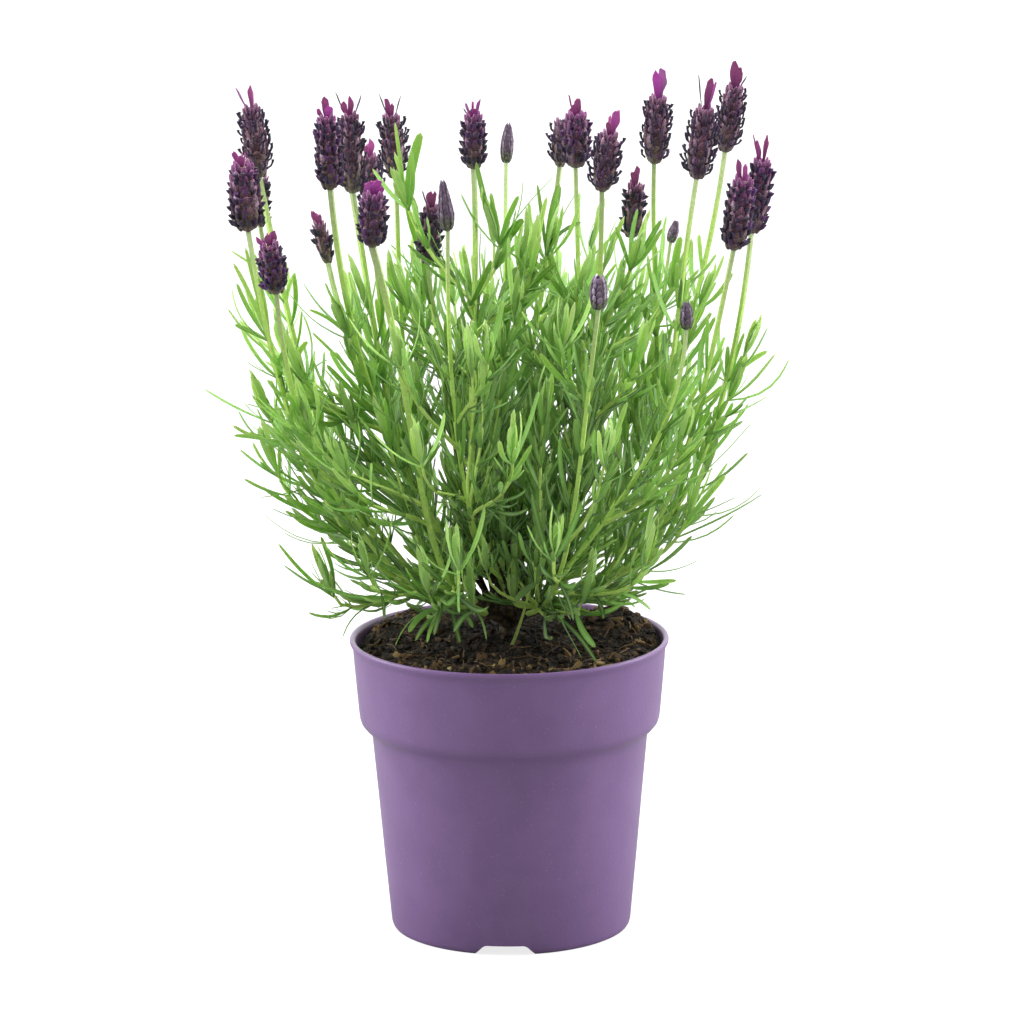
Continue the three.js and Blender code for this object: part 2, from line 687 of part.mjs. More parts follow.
// A spike is a slim core with tiers of hooked florets pulled out of it, set in turn between the last.
function spikeGeometry(head) {
  const isBud = head.tuft === 0 && head.radius <= BUD_SPIKE.greatestRadius;
  const { columns, tiers } = isBud ? BUD_SPIKE : OPEN_SPIKE;
  const rows = 2 * tiers;
  const core = new THREE.CylinderGeometry(1, 1, 1, columns, rows).rotateX(Math.PI / 2);
  return reshape(core, (point) => {
    const row = Math.round((point.z + 0.5) * rows);
    const height = (row / rows) * head.length;
    if (Math.hypot(point.x, point.y) < 1e-6) return vector(0, 0, height);
    const angle = Math.atan2(point.y, point.x);
    const column = Math.round((angle / (2 * Math.PI)) * columns + columns);
    if (row === 0 || row === rows) {
      const cap = row === 0 ? SPIKE.footRadius : SPIKE.topRadius;
      return vector(cap * Math.cos(angle), cap * Math.sin(angle), height);
    }
    const isFloret = row % 2 === 1 && (column + (row - 1) / 2) % 2 === 0;
    const reach = head.radius * spikeFullness(height / head.length) * (isFloret ? 1 : SPIKE.coreShare);
    const lift = isFloret ? (SPIKE.floretLift * head.length) / rows : 0;
    return vector(reach * Math.cos(angle), reach * Math.sin(angle), height + lift);
  });
}

// A tuft is a crown of bracts: every other corner of its rim is a bract's tip, the rest lie low.
function tuftGeometry(head, number) {
  const random = seededRandom(500 + number);
  const column = new THREE.CylinderGeometry(1, 1, 1, 2 * TUFT.bracts, 2).rotateX(Math.PI / 2);
  const start = random();
  const { shortest } = TUFT.tip;
  const tipHeights = Array.from({ length: TUFT.bracts }, () => shortest + (1 - shortest) * random());
  return reshape(column, (point) => {
    const row = Math.round(2 * (point.z + 0.5));
    const isCentre = Math.hypot(point.x, point.y) < 1e-6;
    if (isCentre) return vector(0, 0, row === 0 ? 0 : TUFT.cleft.centreHeight * head.tuft);
    const angle = Math.atan2(point.y, point.x);
    const corner = Math.round((angle / Math.PI) * TUFT.bracts + 2 * TUFT.bracts);
    const isTip = corner % 2 === 0;
    const rim = isTip ? TUFT.tip : TUFT.cleft;
    const topHeight = isTip ? tipHeights[(corner / 2) % TUFT.bracts] : TUFT.cleft.topHeight;
    const radius = [TUFT.footRadius, rim.middleRadius, rim.topRadius][row];
    const height = [0, rim.middleHeight, topHeight][row] * head.tuft;
    return vector(radius * Math.cos(angle + start), radius * Math.sin(angle + start), height);
  });
}

function makeHead(head, number) {
  const axis = headAxis(head);
  const spike = stand(spikeGeometry(head), headFoot(head), axis);
  const top = headFoot(head).addScaledVector(axis, head.length + GAP);
  const tuft = head.tuft > 0 ? stand(tuftGeometry(head, number), top, axis) : null;
  return { spike, tuft };
}

function headBalls(head) {
  const balls = [];
  const axis = headAxis(head);
  for (let height = HEAD_BALLS.first; height < head.length; height += HEAD_BALLS.step) {
    balls.push({ point: headFoot(head).addScaledVector(axis, height), radius: head.radius });
  }
  for (let height = head.length; height < head.length + head.tuft; height += HEAD_BALLS.tuftStep) {
    balls.push({ point: headFoot(head).addScaledVector(axis, height), radius: HEAD_BALLS.tuftRadius });
  }
  return balls;
}

// ---------------------------------------------------------------- the whole plant

function material(colour, roughness) {
  return new THREE.MeshStandardMaterial({ color: colour, roughness, metalness: 0, flatShading: true });
}

function part(name, geometry, colour, roughness) {
  const mesh = new THREE.Mesh(geometry, material(colour, roughness));
  mesh.name = name;
  return mesh;
}

function numbered(name, number) {
  return `${name}_${String(number).padStart(2, '0')}`;
}

function build() {
  const whole = new THREE.Group();
  whole.add(part('pot', makePot(), COLOURS.pot, 0.4));
  whole.add(part('soil', makeSoil(), COLOURS.soil, 0.95));

  const branches = growStalks();
  HEADS.forEach((head) => keep(headBalls(head), 'heads'));
  growShoots(branches);
  whole.add(part('crown', makeCrown(branches), COLOURS.crown, 0.85));

  let stemNumber = 0;
  branches.forEach((stems, i) => {
    const leaves = stems.flatMap((stem) => leavesOn(stem, stemNumber++));
    whole.add(part(numbered('branch', i + 1), makeBranch(stems, leaves), COLOURS.leaf, 0.6));
  });

  HEADS.forEach((head, i) => {
    const { spike, tuft } = makeHead(head, i + 1);
    whole.add(part(numbered('spike', i + 1), spike, head.tuft > 0 ? COLOURS.spike : COLOURS.bud, 0.8));
    if (tuft) whole.add(part(numbered('tuft', i + 1), tuft, COLOURS.tuft, 0.6));
  });
  return whole;
}

export default build();
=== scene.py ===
"""A flowering lavender in a round nursery pot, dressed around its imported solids.

Tables are in millimetres in the part's own frame: +Z up, the pot's foot on Z = 0, the front at -Y.
The plant grows by the same rules as the solids do, so every stalk, side shoot and flower head stays
where its solid stands. The leaves of the solids are all here, with the many others between them.
"""

import bisect
import functools
import itertools
import math

import bmesh
import bpy
import numpy as np
from mathutils import Matrix, noise


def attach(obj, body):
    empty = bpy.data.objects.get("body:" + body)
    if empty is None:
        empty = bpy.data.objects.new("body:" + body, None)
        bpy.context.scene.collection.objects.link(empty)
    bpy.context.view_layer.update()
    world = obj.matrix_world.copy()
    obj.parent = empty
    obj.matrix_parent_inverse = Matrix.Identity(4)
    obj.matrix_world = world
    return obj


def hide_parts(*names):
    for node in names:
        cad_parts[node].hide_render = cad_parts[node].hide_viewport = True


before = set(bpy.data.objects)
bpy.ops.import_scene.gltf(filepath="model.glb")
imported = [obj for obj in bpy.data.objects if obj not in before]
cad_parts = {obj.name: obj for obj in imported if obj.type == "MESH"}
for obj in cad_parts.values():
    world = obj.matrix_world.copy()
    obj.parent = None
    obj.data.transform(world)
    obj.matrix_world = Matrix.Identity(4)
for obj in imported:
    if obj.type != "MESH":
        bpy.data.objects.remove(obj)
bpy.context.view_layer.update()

MM = 0.001


# ------------------------------------------------------------------ sizes

POT = {"height": 121.5, "lip_radius": 65.3, "step": 89.6, "floor_underside": 5.0, "floor_top": 6.4}
# The pot's outside from the foot to the lip, then its inside down to the floor: radius and height.
POT_OUTSIDE = [
    (45.3, 5.0), (45.3, 0.5), (45.7, 0.0), (47.7, 0.0), (48.4, 0.35), (48.9, 1.1), (49.3, 2.4),
    (52.0, 31.0), (54.2, 56.0), (56.35, 79.2), (56.75, 81.6), (57.8, 83.6), (59.6, 85.0),
    (60.9, 86.6), (61.5, 88.4), (61.75, 90.4), (62.6, 100.0), (63.5, 110.5), (64.0, 117.0),
    (64.25, 118.3), (64.9, 119.2), (65.25, 120.0), (65.3, 120.8), (65.05, 121.4), (64.5, 121.6),
]
POT_INSIDE = [
    (63.6, 121.35), (62.9, 120.6), (62.5, 118.6), (60.4, 91.0), (59.9, 88.0), (58.4, 86.2),
    (56.6, 85.2), (55.6, 83.2), (55.1, 79.6), (52.8, 55.0), (49.6, 20.0), (48.2, 8.0), (47.2, 6.7),
    (46.0, 6.4),
]
# The notches through the foot ring, and the drain holes through the floor.
NOTCH = {"count": 3, "azimuth": 267, "bottom": 24.5, "top": 17, "height": 4, "inner": 43, "depth": 10}
DRAIN = {"count": 4, "azimuth": 45, "radius": 4.5, "circle": 30}
SOIL = {
    "level": 118,
    "ripple": 0.7,
    "back_rise": 0.03,
    "flat_radius": 52,
    "edge_width": 8,
    "edge_radius": 61.6,
    "rim_drop": 1.6,
}
# The soil's side inside the pot, from its floor up: radius and height.
SOIL_SIDE = [(46.2, 6.8), (48.6, 20.0), (51.9, 50.0), (54.6, 79.3), (55.2, 84.0), (58.3, 87.4), (59.6, 92.0)]
# Heaps on the soil: x, y, radius and rise.
HEAPS = [(0, 0, 40, 5), (44, 22, 30, 8), (-40, 26, 30, 5.5)]

# Ochre lumps that lie on the soil at the front: x, y and size.
STONES = [
    (-3, -33, 2.4), (-6, -35, 1.6), (0, -36, 1.3), (8, -37, 1.5), (17, -42, 1.6), (-13, -36, 1.5),
    (-28, -33, 1.3), (-24, -38, 1.5), (26, -38, 1.1), (-20, -42, 1.2), (-40, -22, 1.2), (2, -44, 1.0),
    (38, -30, 1.0), (-34, -39, 1.2), (-44, -30, 1.2),
]

# The trunk's radius by height. The leader stands on it, and the arms fork from it.
TRUNK = [(92, 4.6), (110, 4.6), (120, 4.3), (131, 3.6)]
LEADER = {"bottom": 127, "top": 141, "radius": 3.4, "top_radius": 2.2}
ARM = {"pull": 0.55, "radius": 2.3, "end_radius": 1.65}
TWIGS = {"count": 54, "length": 14, "length_spread": 30, "radius": 0.85, "tip_radius": 0.35}
# Stems: their radius, the straight stretches of their solids, and what pulls their curves.
STALK = {"radius": 1.3, "steps": 5, "bare": 62, "spread": 0.72, "start_rise": 0.08, "end_pull": 0.5}
SIDE_STALK = {
    "radius": 1.15,
    "steps": 4,
    "split": 0.16,
    "split_step": 0.12,
    "start_pull": 0.3,
    "end_pull": 0.42,
}
SHOOT = {
    "radius": 0.95,
    "steps": 2,
    "start_pull": 0.35,
    "end_pull": 0.4,
    "tip_lean": 0.35,
    "foot_share": 0.6,
    "foot_drop": 34,
    "tries": None,
    "first_start": 0.05,
    "first_side_start": 0.2,
    "last_start": 0.7,
    "start_step": 0.05,
    "clearance": 0.6,
}
# Thin shoots that only the looks have. They start from one of the nearest places on a stalk.
INNER_SHOOT = {"radius": 0.8, "steps": 2, "foot_share": 0.55, "tries": 12, "drop": 40, "drop_spread": 30}
# Such shoots where the bush reaches out or is dense: their tips.
EXTRA_TIPS = [
    (-62, -20, 214), (-66, 6, 200), (-94, 2, 190), (-97, 4, 247), (-96, -14, 216), (96, 6, 236),
    (6, 12, 266), (3, -30, 258), (5, -8, 277), (-5, 14, 281), (-40, -14, 262), (-34, 10, 246), (44, 10, 262),
    (-8, 22, 192), (12, 30, 204), (-6, -20, 178), (14, -24, 186),
]
# Where the bush is open: x, height as seen from the front and radius of a place, and the share of the
# looks' own leaves that it lacks.
OPENINGS = [
    (-93, 254, 15, 0.95), (-98, 240, 10, 0.5), (-60, 270, 13, 0.6), (-60, 253, 12, 0.45), (-77, 220, 11, 0.4),
    (-11, 270, 12, 0.6), (-11, 287, 11, 0.6), (37, 287, 14, 0.95), (34, 272, 10, 0.5), (70, 153, 15, 0.95),
    (86, 187, 13, 0.8), (86, 237, 13, 0.65), (102, 253, 12, 0.8), (86, 270, 12, 0.6), (62, 140, 10, 0.5),
    (-80, 148, 18, 0.35), (-98, 176, 13, 0.5), (-3, 137, 13, 0.75), (-58, 180, 8, 0.5), (-50, 158, 7, 0.6),
    (-40, 190, 6, 0.5), (44, 214, 6, 0.6), (60, 250, 7, 0.5), (102, 238, 12, 0.8), (90, 225, 9, 0.5),
    (-52, 305, 9, 1.0), (-45, 296, 7, 0.8), (-38, 288, 7, 0.6),
]
# More thin shoots, drawn at random: how many, the heights of their tips, and how far out the tips lie
# at the lowest and the highest.
FILLING = [(40, 158, 290, 45, 75), (14, 136, 158, 38, 44), (18, 160, 232, 20, 30)]
# Heads whose stalks show from the front all the way down.
FRONT_STALKS = (9, 12, 13, 25, 26)
# How near a leaf may stand before such a stalk, and the share of the nearer ones that is left out.
FRONT = {"clearance": 2.6, "left_out": 0.8}
# How much of a stem's foot is bare, and how far a stalk stands from its arm and its head.
BARE_FOOT = 5.0
GAP = 0.3
# How much stems lean with their depth, and the balls by which stems and tufts keep clear.
DEPTH_LEAN = 0.002
BALL_STEP = 3
TUFT_ROOM = 4

LEAF = {
    "length": 24,
    "length_spread": 9,
    "half_width": 1.9,
    "open": 38,
    "open_spread": 16,
    "curl": 22,
    "curl_spread": 16,
    "pair_step": 36,
    "lowest": 14,
    "tip_gap": 2,
    "clearance": 0.6,
    "turns": [0, 12, -12, 90],
    "tilts": [0, -10, 10],
    "rise": 0.34,
    "droop": -0.38,
    "longest": 46,
}
# How much of a stalk below its head stays bare in the looks, on open heads and on small buds.
BARE = {"open": 46, "bud": 28}

# Single leaves that show at the bush's outline: the root's and the tip's x and height as seen from the
# front, how far the leaf arches (negative curls up), its half width, and how far its blade is turned.
SEEN_LEAVES = [
    (-102, 248, -104.5, 283, 0, 0.9, 80), (-103, 243, -108.5, 268, -10, 0.9, 70),
    (-98, 246, -99, 272, 6, 0.9, 70), (-104, 236, -112, 258, -20, 0.8, 50),
    (-109.3, 268.2, -112.6, 282.8, 12, 0.7, 60), (-104.4, 244, -111, 267, -50, 1, 20),
    (-107.3, 258.6, -108.9, 276.6, 6, 0.9, 90), (-92.2, 262, -86.1, 274.1, 14, 0.9, 60),
    (-91.8, 248.6, -84.5, 261.1, -24, 0.6, 0), (-74.7, 249.4, -79.2, 257.8, 20, 0.8, 60),
    (-102.4, 241.1, -109.3, 251.1, 10, 1, 70), (-89.4, 232.8, -87.7, 243.6, 0, 1.2, 90),
    (-89, 232.8, -80.8, 244.9, 16, 1.1, 80), (-73.9, 218.2, -82.4, 232.3, -24, 0.6, 10),
    (-74.7, 230.3, -71.8, 236.9, 40, 0.6, 30), (-95.5, 199.4, -110.2, 218.2, -62, 1, 30),
    (-107.7, 209.4, -105.3, 219.4, -30, 0.7, 30), (-94.7, 199.8, -111.8, 206, 24, 1.1, 60),
    (-88.1, 195.2, -100.4, 220.2, 30, 1.2, 70), (-86.1, 208.6, -80.4, 220.2, 10, 1, 80),
    (-86.1, 178.5, -101.6, 180.2, -10, 0.5, 20), (-77.6, 168.9, -96.3, 176.8, -40, 0.6, 10),
    (-72.7, 158.9, -102.4, 174.3, -46, 0.7, 10), (-73.5, 158.9, -94.7, 165.2, -44, 0.6, 10),
    (-74.3, 139.7, -91.4, 152.6, -18, 1.1, 50), (-74.3, 141, -80, 149.3, -8, 0.5, 20),
    (-58.8, 132.2, -72.7, 133.9, 16, 0.6, 20), (-55.5, 130.9, -68.2, 121.3, 40, 0.8, 30),
    (-51.9, 141, -49.8, 130.1, 30, 0.7, 30), (-27.8, 134.7, -40.9, 123.8, 50, 1.3, 60),
    (-26.2, 133.9, -33.1, 119.7, 30, 1, 60), (-22.5, 133.4, -19.3, 119.7, -10, 1, 80),
    (-22.9, 134.7, -14, 125.5, 40, 0.9, 50), (-31.1, 131.8, -46.2, 118, 50, 0.7, 30),
    (-15.6, 136.8, -9.1, 120.1, 30, 0.6, 40), (-28.7, 151, -30.3, 135.1, 10, 1.9, 90),
    (-17.7, 145.1, -20.1, 132.6, 30, 1.4, 70), (24.7, 135.5, 34.9, 117.6, -30, 1.3, 70),
    (8.4, 143.9, 2.3, 136.8, 20, 1.7, 80), (34.1, 140.1, 38.2, 129.3, 30, 0.9, 50),
    (42.2, 141, 56.9, 132.6, 36, 0.9, 40), (16.2, 138.4, 21.1, 127.6, -30, 0.7, 40),
    (94.8, 225.7, 105.4, 240.3, 14, 1.1, 70), (89.9, 218.2, 116, 237.8, -62, 1, 20),
    (89.9, 226.1, 89.5, 241.9, 0, 1, 80), (91.1, 223.6, 94.8, 238.2, 12, 0.9, 60),
    (89.1, 225.2, 82.2, 230.3, 24, 0.7, 40), (87.1, 204, 98.5, 218.2, -44, 0.8, 20),
    (66.7, 165.2, 87.1, 188.1, 8, 1.3, 60), (77.7, 173.9, 103.4, 183.9, -46, 0.5, 10),
    (61.8, 161.4, 93.6, 172.2, -44, 0.6, 10), (59.8, 147.6, 75.7, 153.9, -36, 0.5, 10),
    (59.8, 137.6, 70.8, 139.3, -16, 0.5, 10), (59.8, 138, 66.7, 145.5, -10, 0.9, 50),
    (53.7, 134.3, 64.3, 143.9, -24, 1, 60), (-3, 289.9, -11.9, 317.9, -8, 1.2, 70),
    (-4.2, 293.7, -6.2, 305.4, 0, 1, 80), (1.1, 291.2, 4.8, 304.1, 6, 1.1, 80),
    (2.7, 292, 19.8, 312, 14, 0.4, 0), (15.8, 286.2, 21.5, 307.9, 6, 1.9, 80),
    (14.9, 292, 12.9, 307.9, 0, 0.8, 70), (17.4, 284.5, 30.8, 292.8, 50, 0.9, 30),
    (2.7, 282.8, 6.8, 294.5, 0, 1.7, 90), (-41.3, 304.5, -34.4, 330, 10, 2, 80),
    (-42.5, 322.1, -44.5, 334.2, 0, 0.8, 80), (45.5, 273.7, 61.8, 292.8, -6, 1.1, 60),
    (53.7, 260.3, 71.6, 277, -10, 1.3, 50), (41.8, 275.3, 43.9, 290.3, 4, 0.9, 70),
    (74, 272.8, 78.1, 289.1, 4, 1.2, 70), (63.8, 268.6, 69.6, 287, 4, 1.6, 80),
    (19.4, 295.4, 27.6, 304.5, 10, 0.5, 10), (65.1, 252.8, 74, 262, 10, 0.8, 60),
    (-18.5, 174.3, -1.4, 186, -20, 1.2, 50), (-25.8, 228.6, -15.6, 241.1, 20, 1.2, 50),
]
# A young shoot that rises from the soil before the crown.
BASAL_SHOOT = {"foot": (0.5, -15, 120), "tip": (12, -32, 168), "branch": 9, "bare": 24}
LOW_ARM = {"radius": 15, "height": 134, "fork": 125}
HIGH_ARM = {"radius": 9, "height": 147, "fork": 137}

# Each branch: its arm, the way the arm points and the heads it carries, its leading stalk's first.
BRANCHES = [
    (LOW_ARM, 197, [2, 4]),
    (LOW_ARM, 166, [1, 3]),
    (LOW_ARM, 130, [8, 7, 10]),
    (LOW_ARM, 50, [24, 20, 23]),
    (LOW_ARM, 8, [22, 18]),
    (LOW_ARM, -24, [21, 19]),
    (LOW_ARM, -60, [25, 26]),
    (LOW_ARM, 232, [9]),
    (HIGH_ARM, 180, [6, 5]),
    (HIGH_ARM, 262, [12, 13]),
    (HIGH_ARM, 95, [14, 16, 11]),
    (HIGH_ARM, -15, [17, 15]),
]

# How thick some heads' stalks look, as a share of their solid's thickness.
STALK_WIDTHS = {
    2: 0.82, 5: 1.22, 9: 1.4, 12: 0.72, 14: 0.64, 15: 0.88, 19: 0.88, 20: 0.9, 21: 0.82, 22: 0.86,
    24: 0.7, 25: 0.8, 26: 0.8,
}

# Flower heads 1 to 26: foot, lean of the spike, lean of its stalk, length, half width, tuft length.
HEADS = [
    ((-100, 18, 309), -0.10, -0.19, 30, 6.8, 9),
    ((-103, -22, 294), -0.07, -0.14, 28, 7.2, 9),
    ((-101, 44, 284), 0.04, -0.14, 22, 4.6, 0),
    ((-91, -48, 273), -0.13, -0.07, 22, 6.4, 7),
    ((-70, -20, 310), -0.04, -0.08, 31, 6.2, 10),
    ((-62, 8, 304), -0.02, -0.15, 33, 6.4, 10),
    ((-45, 38, 305), -0.07, -0.02, 27, 6.6, 9),
    ((-56, 62, 288), 0.0, -0.08, 25, 5.8, 9),
    ((-53, -45, 291), 0.03, -0.27, 27, 6.8, 9),
    ((-73, 32, 271), -0.22, -0.20, 22, 3.6, 7),
    ((-32, 12, 274), 0.08, -0.05, 25, 5.6, 8),
    ((-23, -55, 299), -0.09, 0.02, 20, 3.5, 0),
    ((-13, 5, 314), 0.0, -0.04, 23, 6.0, 8),
    ((0, 70, 306), 0.07, 0.02, 17, 2.6, 0),
    ((28, 0, 315), 0.02, -0.02, 23, 7.0, 8),
    ((22, 40, 309), 0.04, 0.12, 20, 4.4, 0),
    ((38, -35, 311), 0.13, 0.01, 25, 6.6, 9),
    ((60, 15, 314), 0.06, 0.03, 28, 6.6, 11),
    ((76, -18, 313), 0.12, 0.16, 30, 6.8, 11),
    ((89, 25, 317), 0.15, 0.14, 28, 6.4, 10),
    ((90, -40, 288), 0.13, 0.20, 30, 7.0, 9),
    ((99, 5, 287), 0.16, 0.10, 31, 6.2, 9),
    ((51, 30, 281), 0.09, 0.04, 23, 5.4, 8),
    ((68, 65, 273), 0.28, 0.15, 9, 2.3, 0),
    ((36, -70, 270), 0.0, 0.13, 13, 3.6, 0),
    ((71, -50, 258), 0.0, 0.05, 11, 2.7, 0),
]

SHOOT_TIPS = [
    (-72, -12, 143), (-88, 2, 200), (-88, -8, 240), (-82, -24, 234), (-64, -20, 251), (-78, -42, 216),
    (-40, 0, 300), (-3, 0, 284), (16, -10, 281), (28, -20, 266), (50, -18, 278),
    (67, 0, 266), (78, 4, 258), (90, 0, 221), (78, 2, 184), (57, 0, 150),
    (-56, -52, 160), (-20, -72, 166), (18, -76, 172), (54, -58, 164), (72, -38, 180), (11, -42, 162),
    (-64, -58, 202), (-34, -76, 210), (2, -80, 212), (38, -76, 210), (68, -56, 212),
    (-42, -60, 246), (-8, -68, 250), (22, -66, 254), (52, -56, 248), (10, -36, 280),
    (-70, 42, 160), (-40, 68, 154), (2, 78, 158), (42, 70, 156), (68, 42, 166), (-32, -46, 150),
    (-78, 38, 202), (-46, 68, 200), (-6, 80, 206), (36, 76, 208), (70, 54, 204),
    (-60, 52, 242), (-22, 70, 248), (20, 72, 252), (54, 56, 248), (30, -46, 148),
    (-34, 38, 272), (34, 44, 272),
]

CAMERA = {"at": (1.5, -2262.5, 673.0), "pitch": 12.45, "roll": 0.4, "view": 10.29}


# ------------------------------------------------------------------ small helpers

def vec(*values):
    return np.array(values, dtype=float)


UP = vec(0, 0, 1)


def unit(vector):
    return vector / np.linalg.norm(vector)


def level_with(vector, least=1e-6):
    """A level vector's direction, or +X where the vector is too short to tell."""
    return unit(vector) if np.linalg.norm(vector) > least else vec(1, 0, 0)


def clamp(value, low=0, high=1):
    return min(max(value, low), high)


def compass(azimuth, radius, height):
    angle = math.radians(azimuth)
    return vec(radius * math.cos(angle), radius * math.sin(angle), height)


class Draws:
    """Random numbers from 0 to 1, the same on each run."""

    FACTOR = 1664525
    STEP = 1013904223
    RANGE = 2**32

    def __init__(self, seed):
        self.state = seed

    def __call__(self):
        self.state = (self.state * self.FACTOR + self.STEP) % self.RANGE
        return self.state / self.RANGE

    def about(self, width):
        """A draw that is spread evenly round 0."""
        return width * (self() - 0.5)


def face_outwards(bm):
    bmesh.ops.recalc_face_normals(bm, faces=bm.faces)


def mesh_of(name, bm):
    mesh = bpy.data.meshes.new(name)
    bm.to_mesh(mesh)
    bm.free()
    return mesh


def placed(name, data):
    """Puts a mesh, a light or a camera into the scene as an object."""
    thing = bpy.data.objects.new(name, data)
    bpy.context.scene.collection.objects.link(thing)
    return thing


def finish_piece(name, bm, materials, node=None, sharp_angle=None):
    """Turns a bmesh in millimetres into a smooth object that rides on the part's one body."""
    bmesh.ops.scale(bm, vec=(MM, MM, MM), verts=bm.verts)
    piece = placed(name, mesh_of(name, bm))
    for material in materials:
        piece.data.materials.append(material)
    piece.data.shade_smooth()
    if sharp_angle is not None:
        piece.data.set_sharp_from_angle(angle=math.radians(sharp_angle))
    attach(piece, "root")
    if node is not None:
        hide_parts(node)
    return piece


# ------------------------------------------------------------------ moulds

class Mould:
    """A small shape that is pressed again and again into a larger mesh, each time with new points."""

    def __init__(self, name, bm, material=0, rim=False):
        face_outwards(bm)
        for face in bm.faces:
            face.material_index = material
        self.mesh = mesh_of(name, bm)
        points = np.zeros(len(self.mesh.vertices) * 3)
        self.mesh.vertices.foreach_get("co", points)
        self.points = points.reshape(-1, 3)
        for layer in ("tone", "along", "across", "under"):
            self.mesh.attributes.new(layer, "FLOAT", "POINT")
        self.fill("under", np.abs(self.points[:, 0]) if rim else self.points[:, 1] < -0.05)

    def fill(self, layer, values):
        filled = np.full(len(self.points), values, dtype=np.float32)
        self.mesh.attributes[layer].data.foreach_set("value", filled)

    def press(self, bm, points, tone=0.5, along=0.0, across=0.0):
        self.mesh.vertices.foreach_set("co", np.asarray(points, dtype=np.float32).ravel())
        self.fill("tone", tone)
        self.fill("along", along)
        self.fill("across", across)
        bm.from_mesh(self.mesh)


def tube_shape(sides, cuts, pointed=False):
    """An upright tube of radius 1 from z = 0 to z = 1, ringed at even heights, closed at both ends."""
    bm = bmesh.new()
    top = 0.0 if pointed else 1.0
    bmesh.ops.create_cone(bm, cap_ends=True, segments=sides, radius1=1.0, radius2=top, depth=1.0)
    bmesh.ops.translate(bm, vec=(0, 0, 0.5), verts=bm.verts)
    uprights = [edge for edge in bm.edges if abs(edge.verts[0].co.z - edge.verts[1].co.z) > 0.5]
    bmesh.ops.subdivide_edges(bm, edges=uprights, cuts=cuts, use_grid_fill=True)
    return bm


@functools.cache
def tube_mould(sides, cuts, material):
    return Mould("tube", tube_shape(sides, cuts), material)


def press_tube(bm, path, radii, sides=8, squareness=0.0, level=None, material=0, tone=0.5):
    """A tube along a path. Its section is round, or nearer to square by `squareness`."""
    path = np.asarray(path, dtype=float)
    last = len(path) - 1
    mould = tube_mould(sides, last - 1, material)
    x, y, height = mould.points.T
    station = np.rint(height * last).astype(int)
    angle = np.arctan2(y, x)
    tangents = np.gradient(path, axis=0)
    tangents /= np.linalg.norm(tangents, axis=1)[:, None]
    if level is None:
        level = level_with(np.cross(path[-1] - path[0], UP))
    normals = level - tangents * (tangents @ level)[:, None]
    normals /= np.linalg.norm(normals, axis=1)[:, None]
    binormals = np.cross(tangents, normals)
    radii, tone = (np.broadcast_to(values, len(path))[station] for values in (radii, tone))
    reach = radii * (1 + squareness * (np.cos(4 * angle) - 0.5))
    points = (
        path[station]
        + normals[station] * (reach * np.cos(angle))[:, None]
        + binormals[station] * (reach * np.sin(angle))[:, None]
    )
    mould.press(bm, points, tone, height, np.cos(angle))


# ------------------------------------------------------------------ how the plant grows

def leaning(lean, depth):
    return unit(vec(lean, DEPTH_LEAN * depth, 1))


class Head:
    """A flower head of the table, with the directions along it and to its right and front."""

    def __init__(self, number):
        foot, lean, stalk_lean, self.length, self.radius, self.tuft = HEADS[number - 1]
        self.number = number
        self.foot = vec(*foot)
        self.stalk_axis = leaning(stalk_lean, foot[1])
        self.axis = leaning(lean, foot[1])
        self.right = unit(np.cross(self.axis, vec(0, 1, 0)))
        self.forward = np.cross(self.axis, self.right)

    def outward(self, angle):
        return self.right * math.cos(angle) + self.forward * math.sin(angle)

    def balls(self):
        spike = np.arange(1.5, self.length, 2.5)
        tuft = np.arange(self.length, self.length + self.tuft, 2)
        points = np.array([self.foot + self.axis * height for height in (*spike, *tuft)])
        return points, vec(*[self.radius] * len(spike), *[TUFT_ROOM] * len(tuft))


FLOWER_HEADS = {number: Head(number) for number in range(1, len(HEADS) + 1)}


class Curve:
    """A cubic curve that is walked by its length, in two hundred steps."""

    DIVISIONS = 200

    def __init__(self, start, first_pull, second_pull, end):
        self.control = [np.asarray(p, dtype=float) for p in (start, first_pull, second_pull, end)]
        points = [self.point(i / self.DIVISIONS) for i in range(self.DIVISIONS + 1)]
        self.lengths = [0.0]
        for before, after in zip(points, points[1:]):
            self.lengths.append(self.lengths[-1] + float(np.linalg.norm(after - before)))
        self.length = self.lengths[-1]

    def point(self, t):
        start, first, second, end = self.control
        k = 1 - t
        return k**3 * start + 3 * k * k * t * first + 3 * k * t * t * second + t**3 * end

    def share(self, u):
        target = u * self.length
        i = min(max(bisect.bisect_right(self.lengths, target) - 1, 0), self.DIVISIONS - 1)
        before, after = self.lengths[i], self.lengths[i + 1]
        return (i + (target - before) / (after - before)) / self.DIVISIONS

    def point_at(self, u):
        return self.point(self.share(u))


serial_numbers = itertools.count()


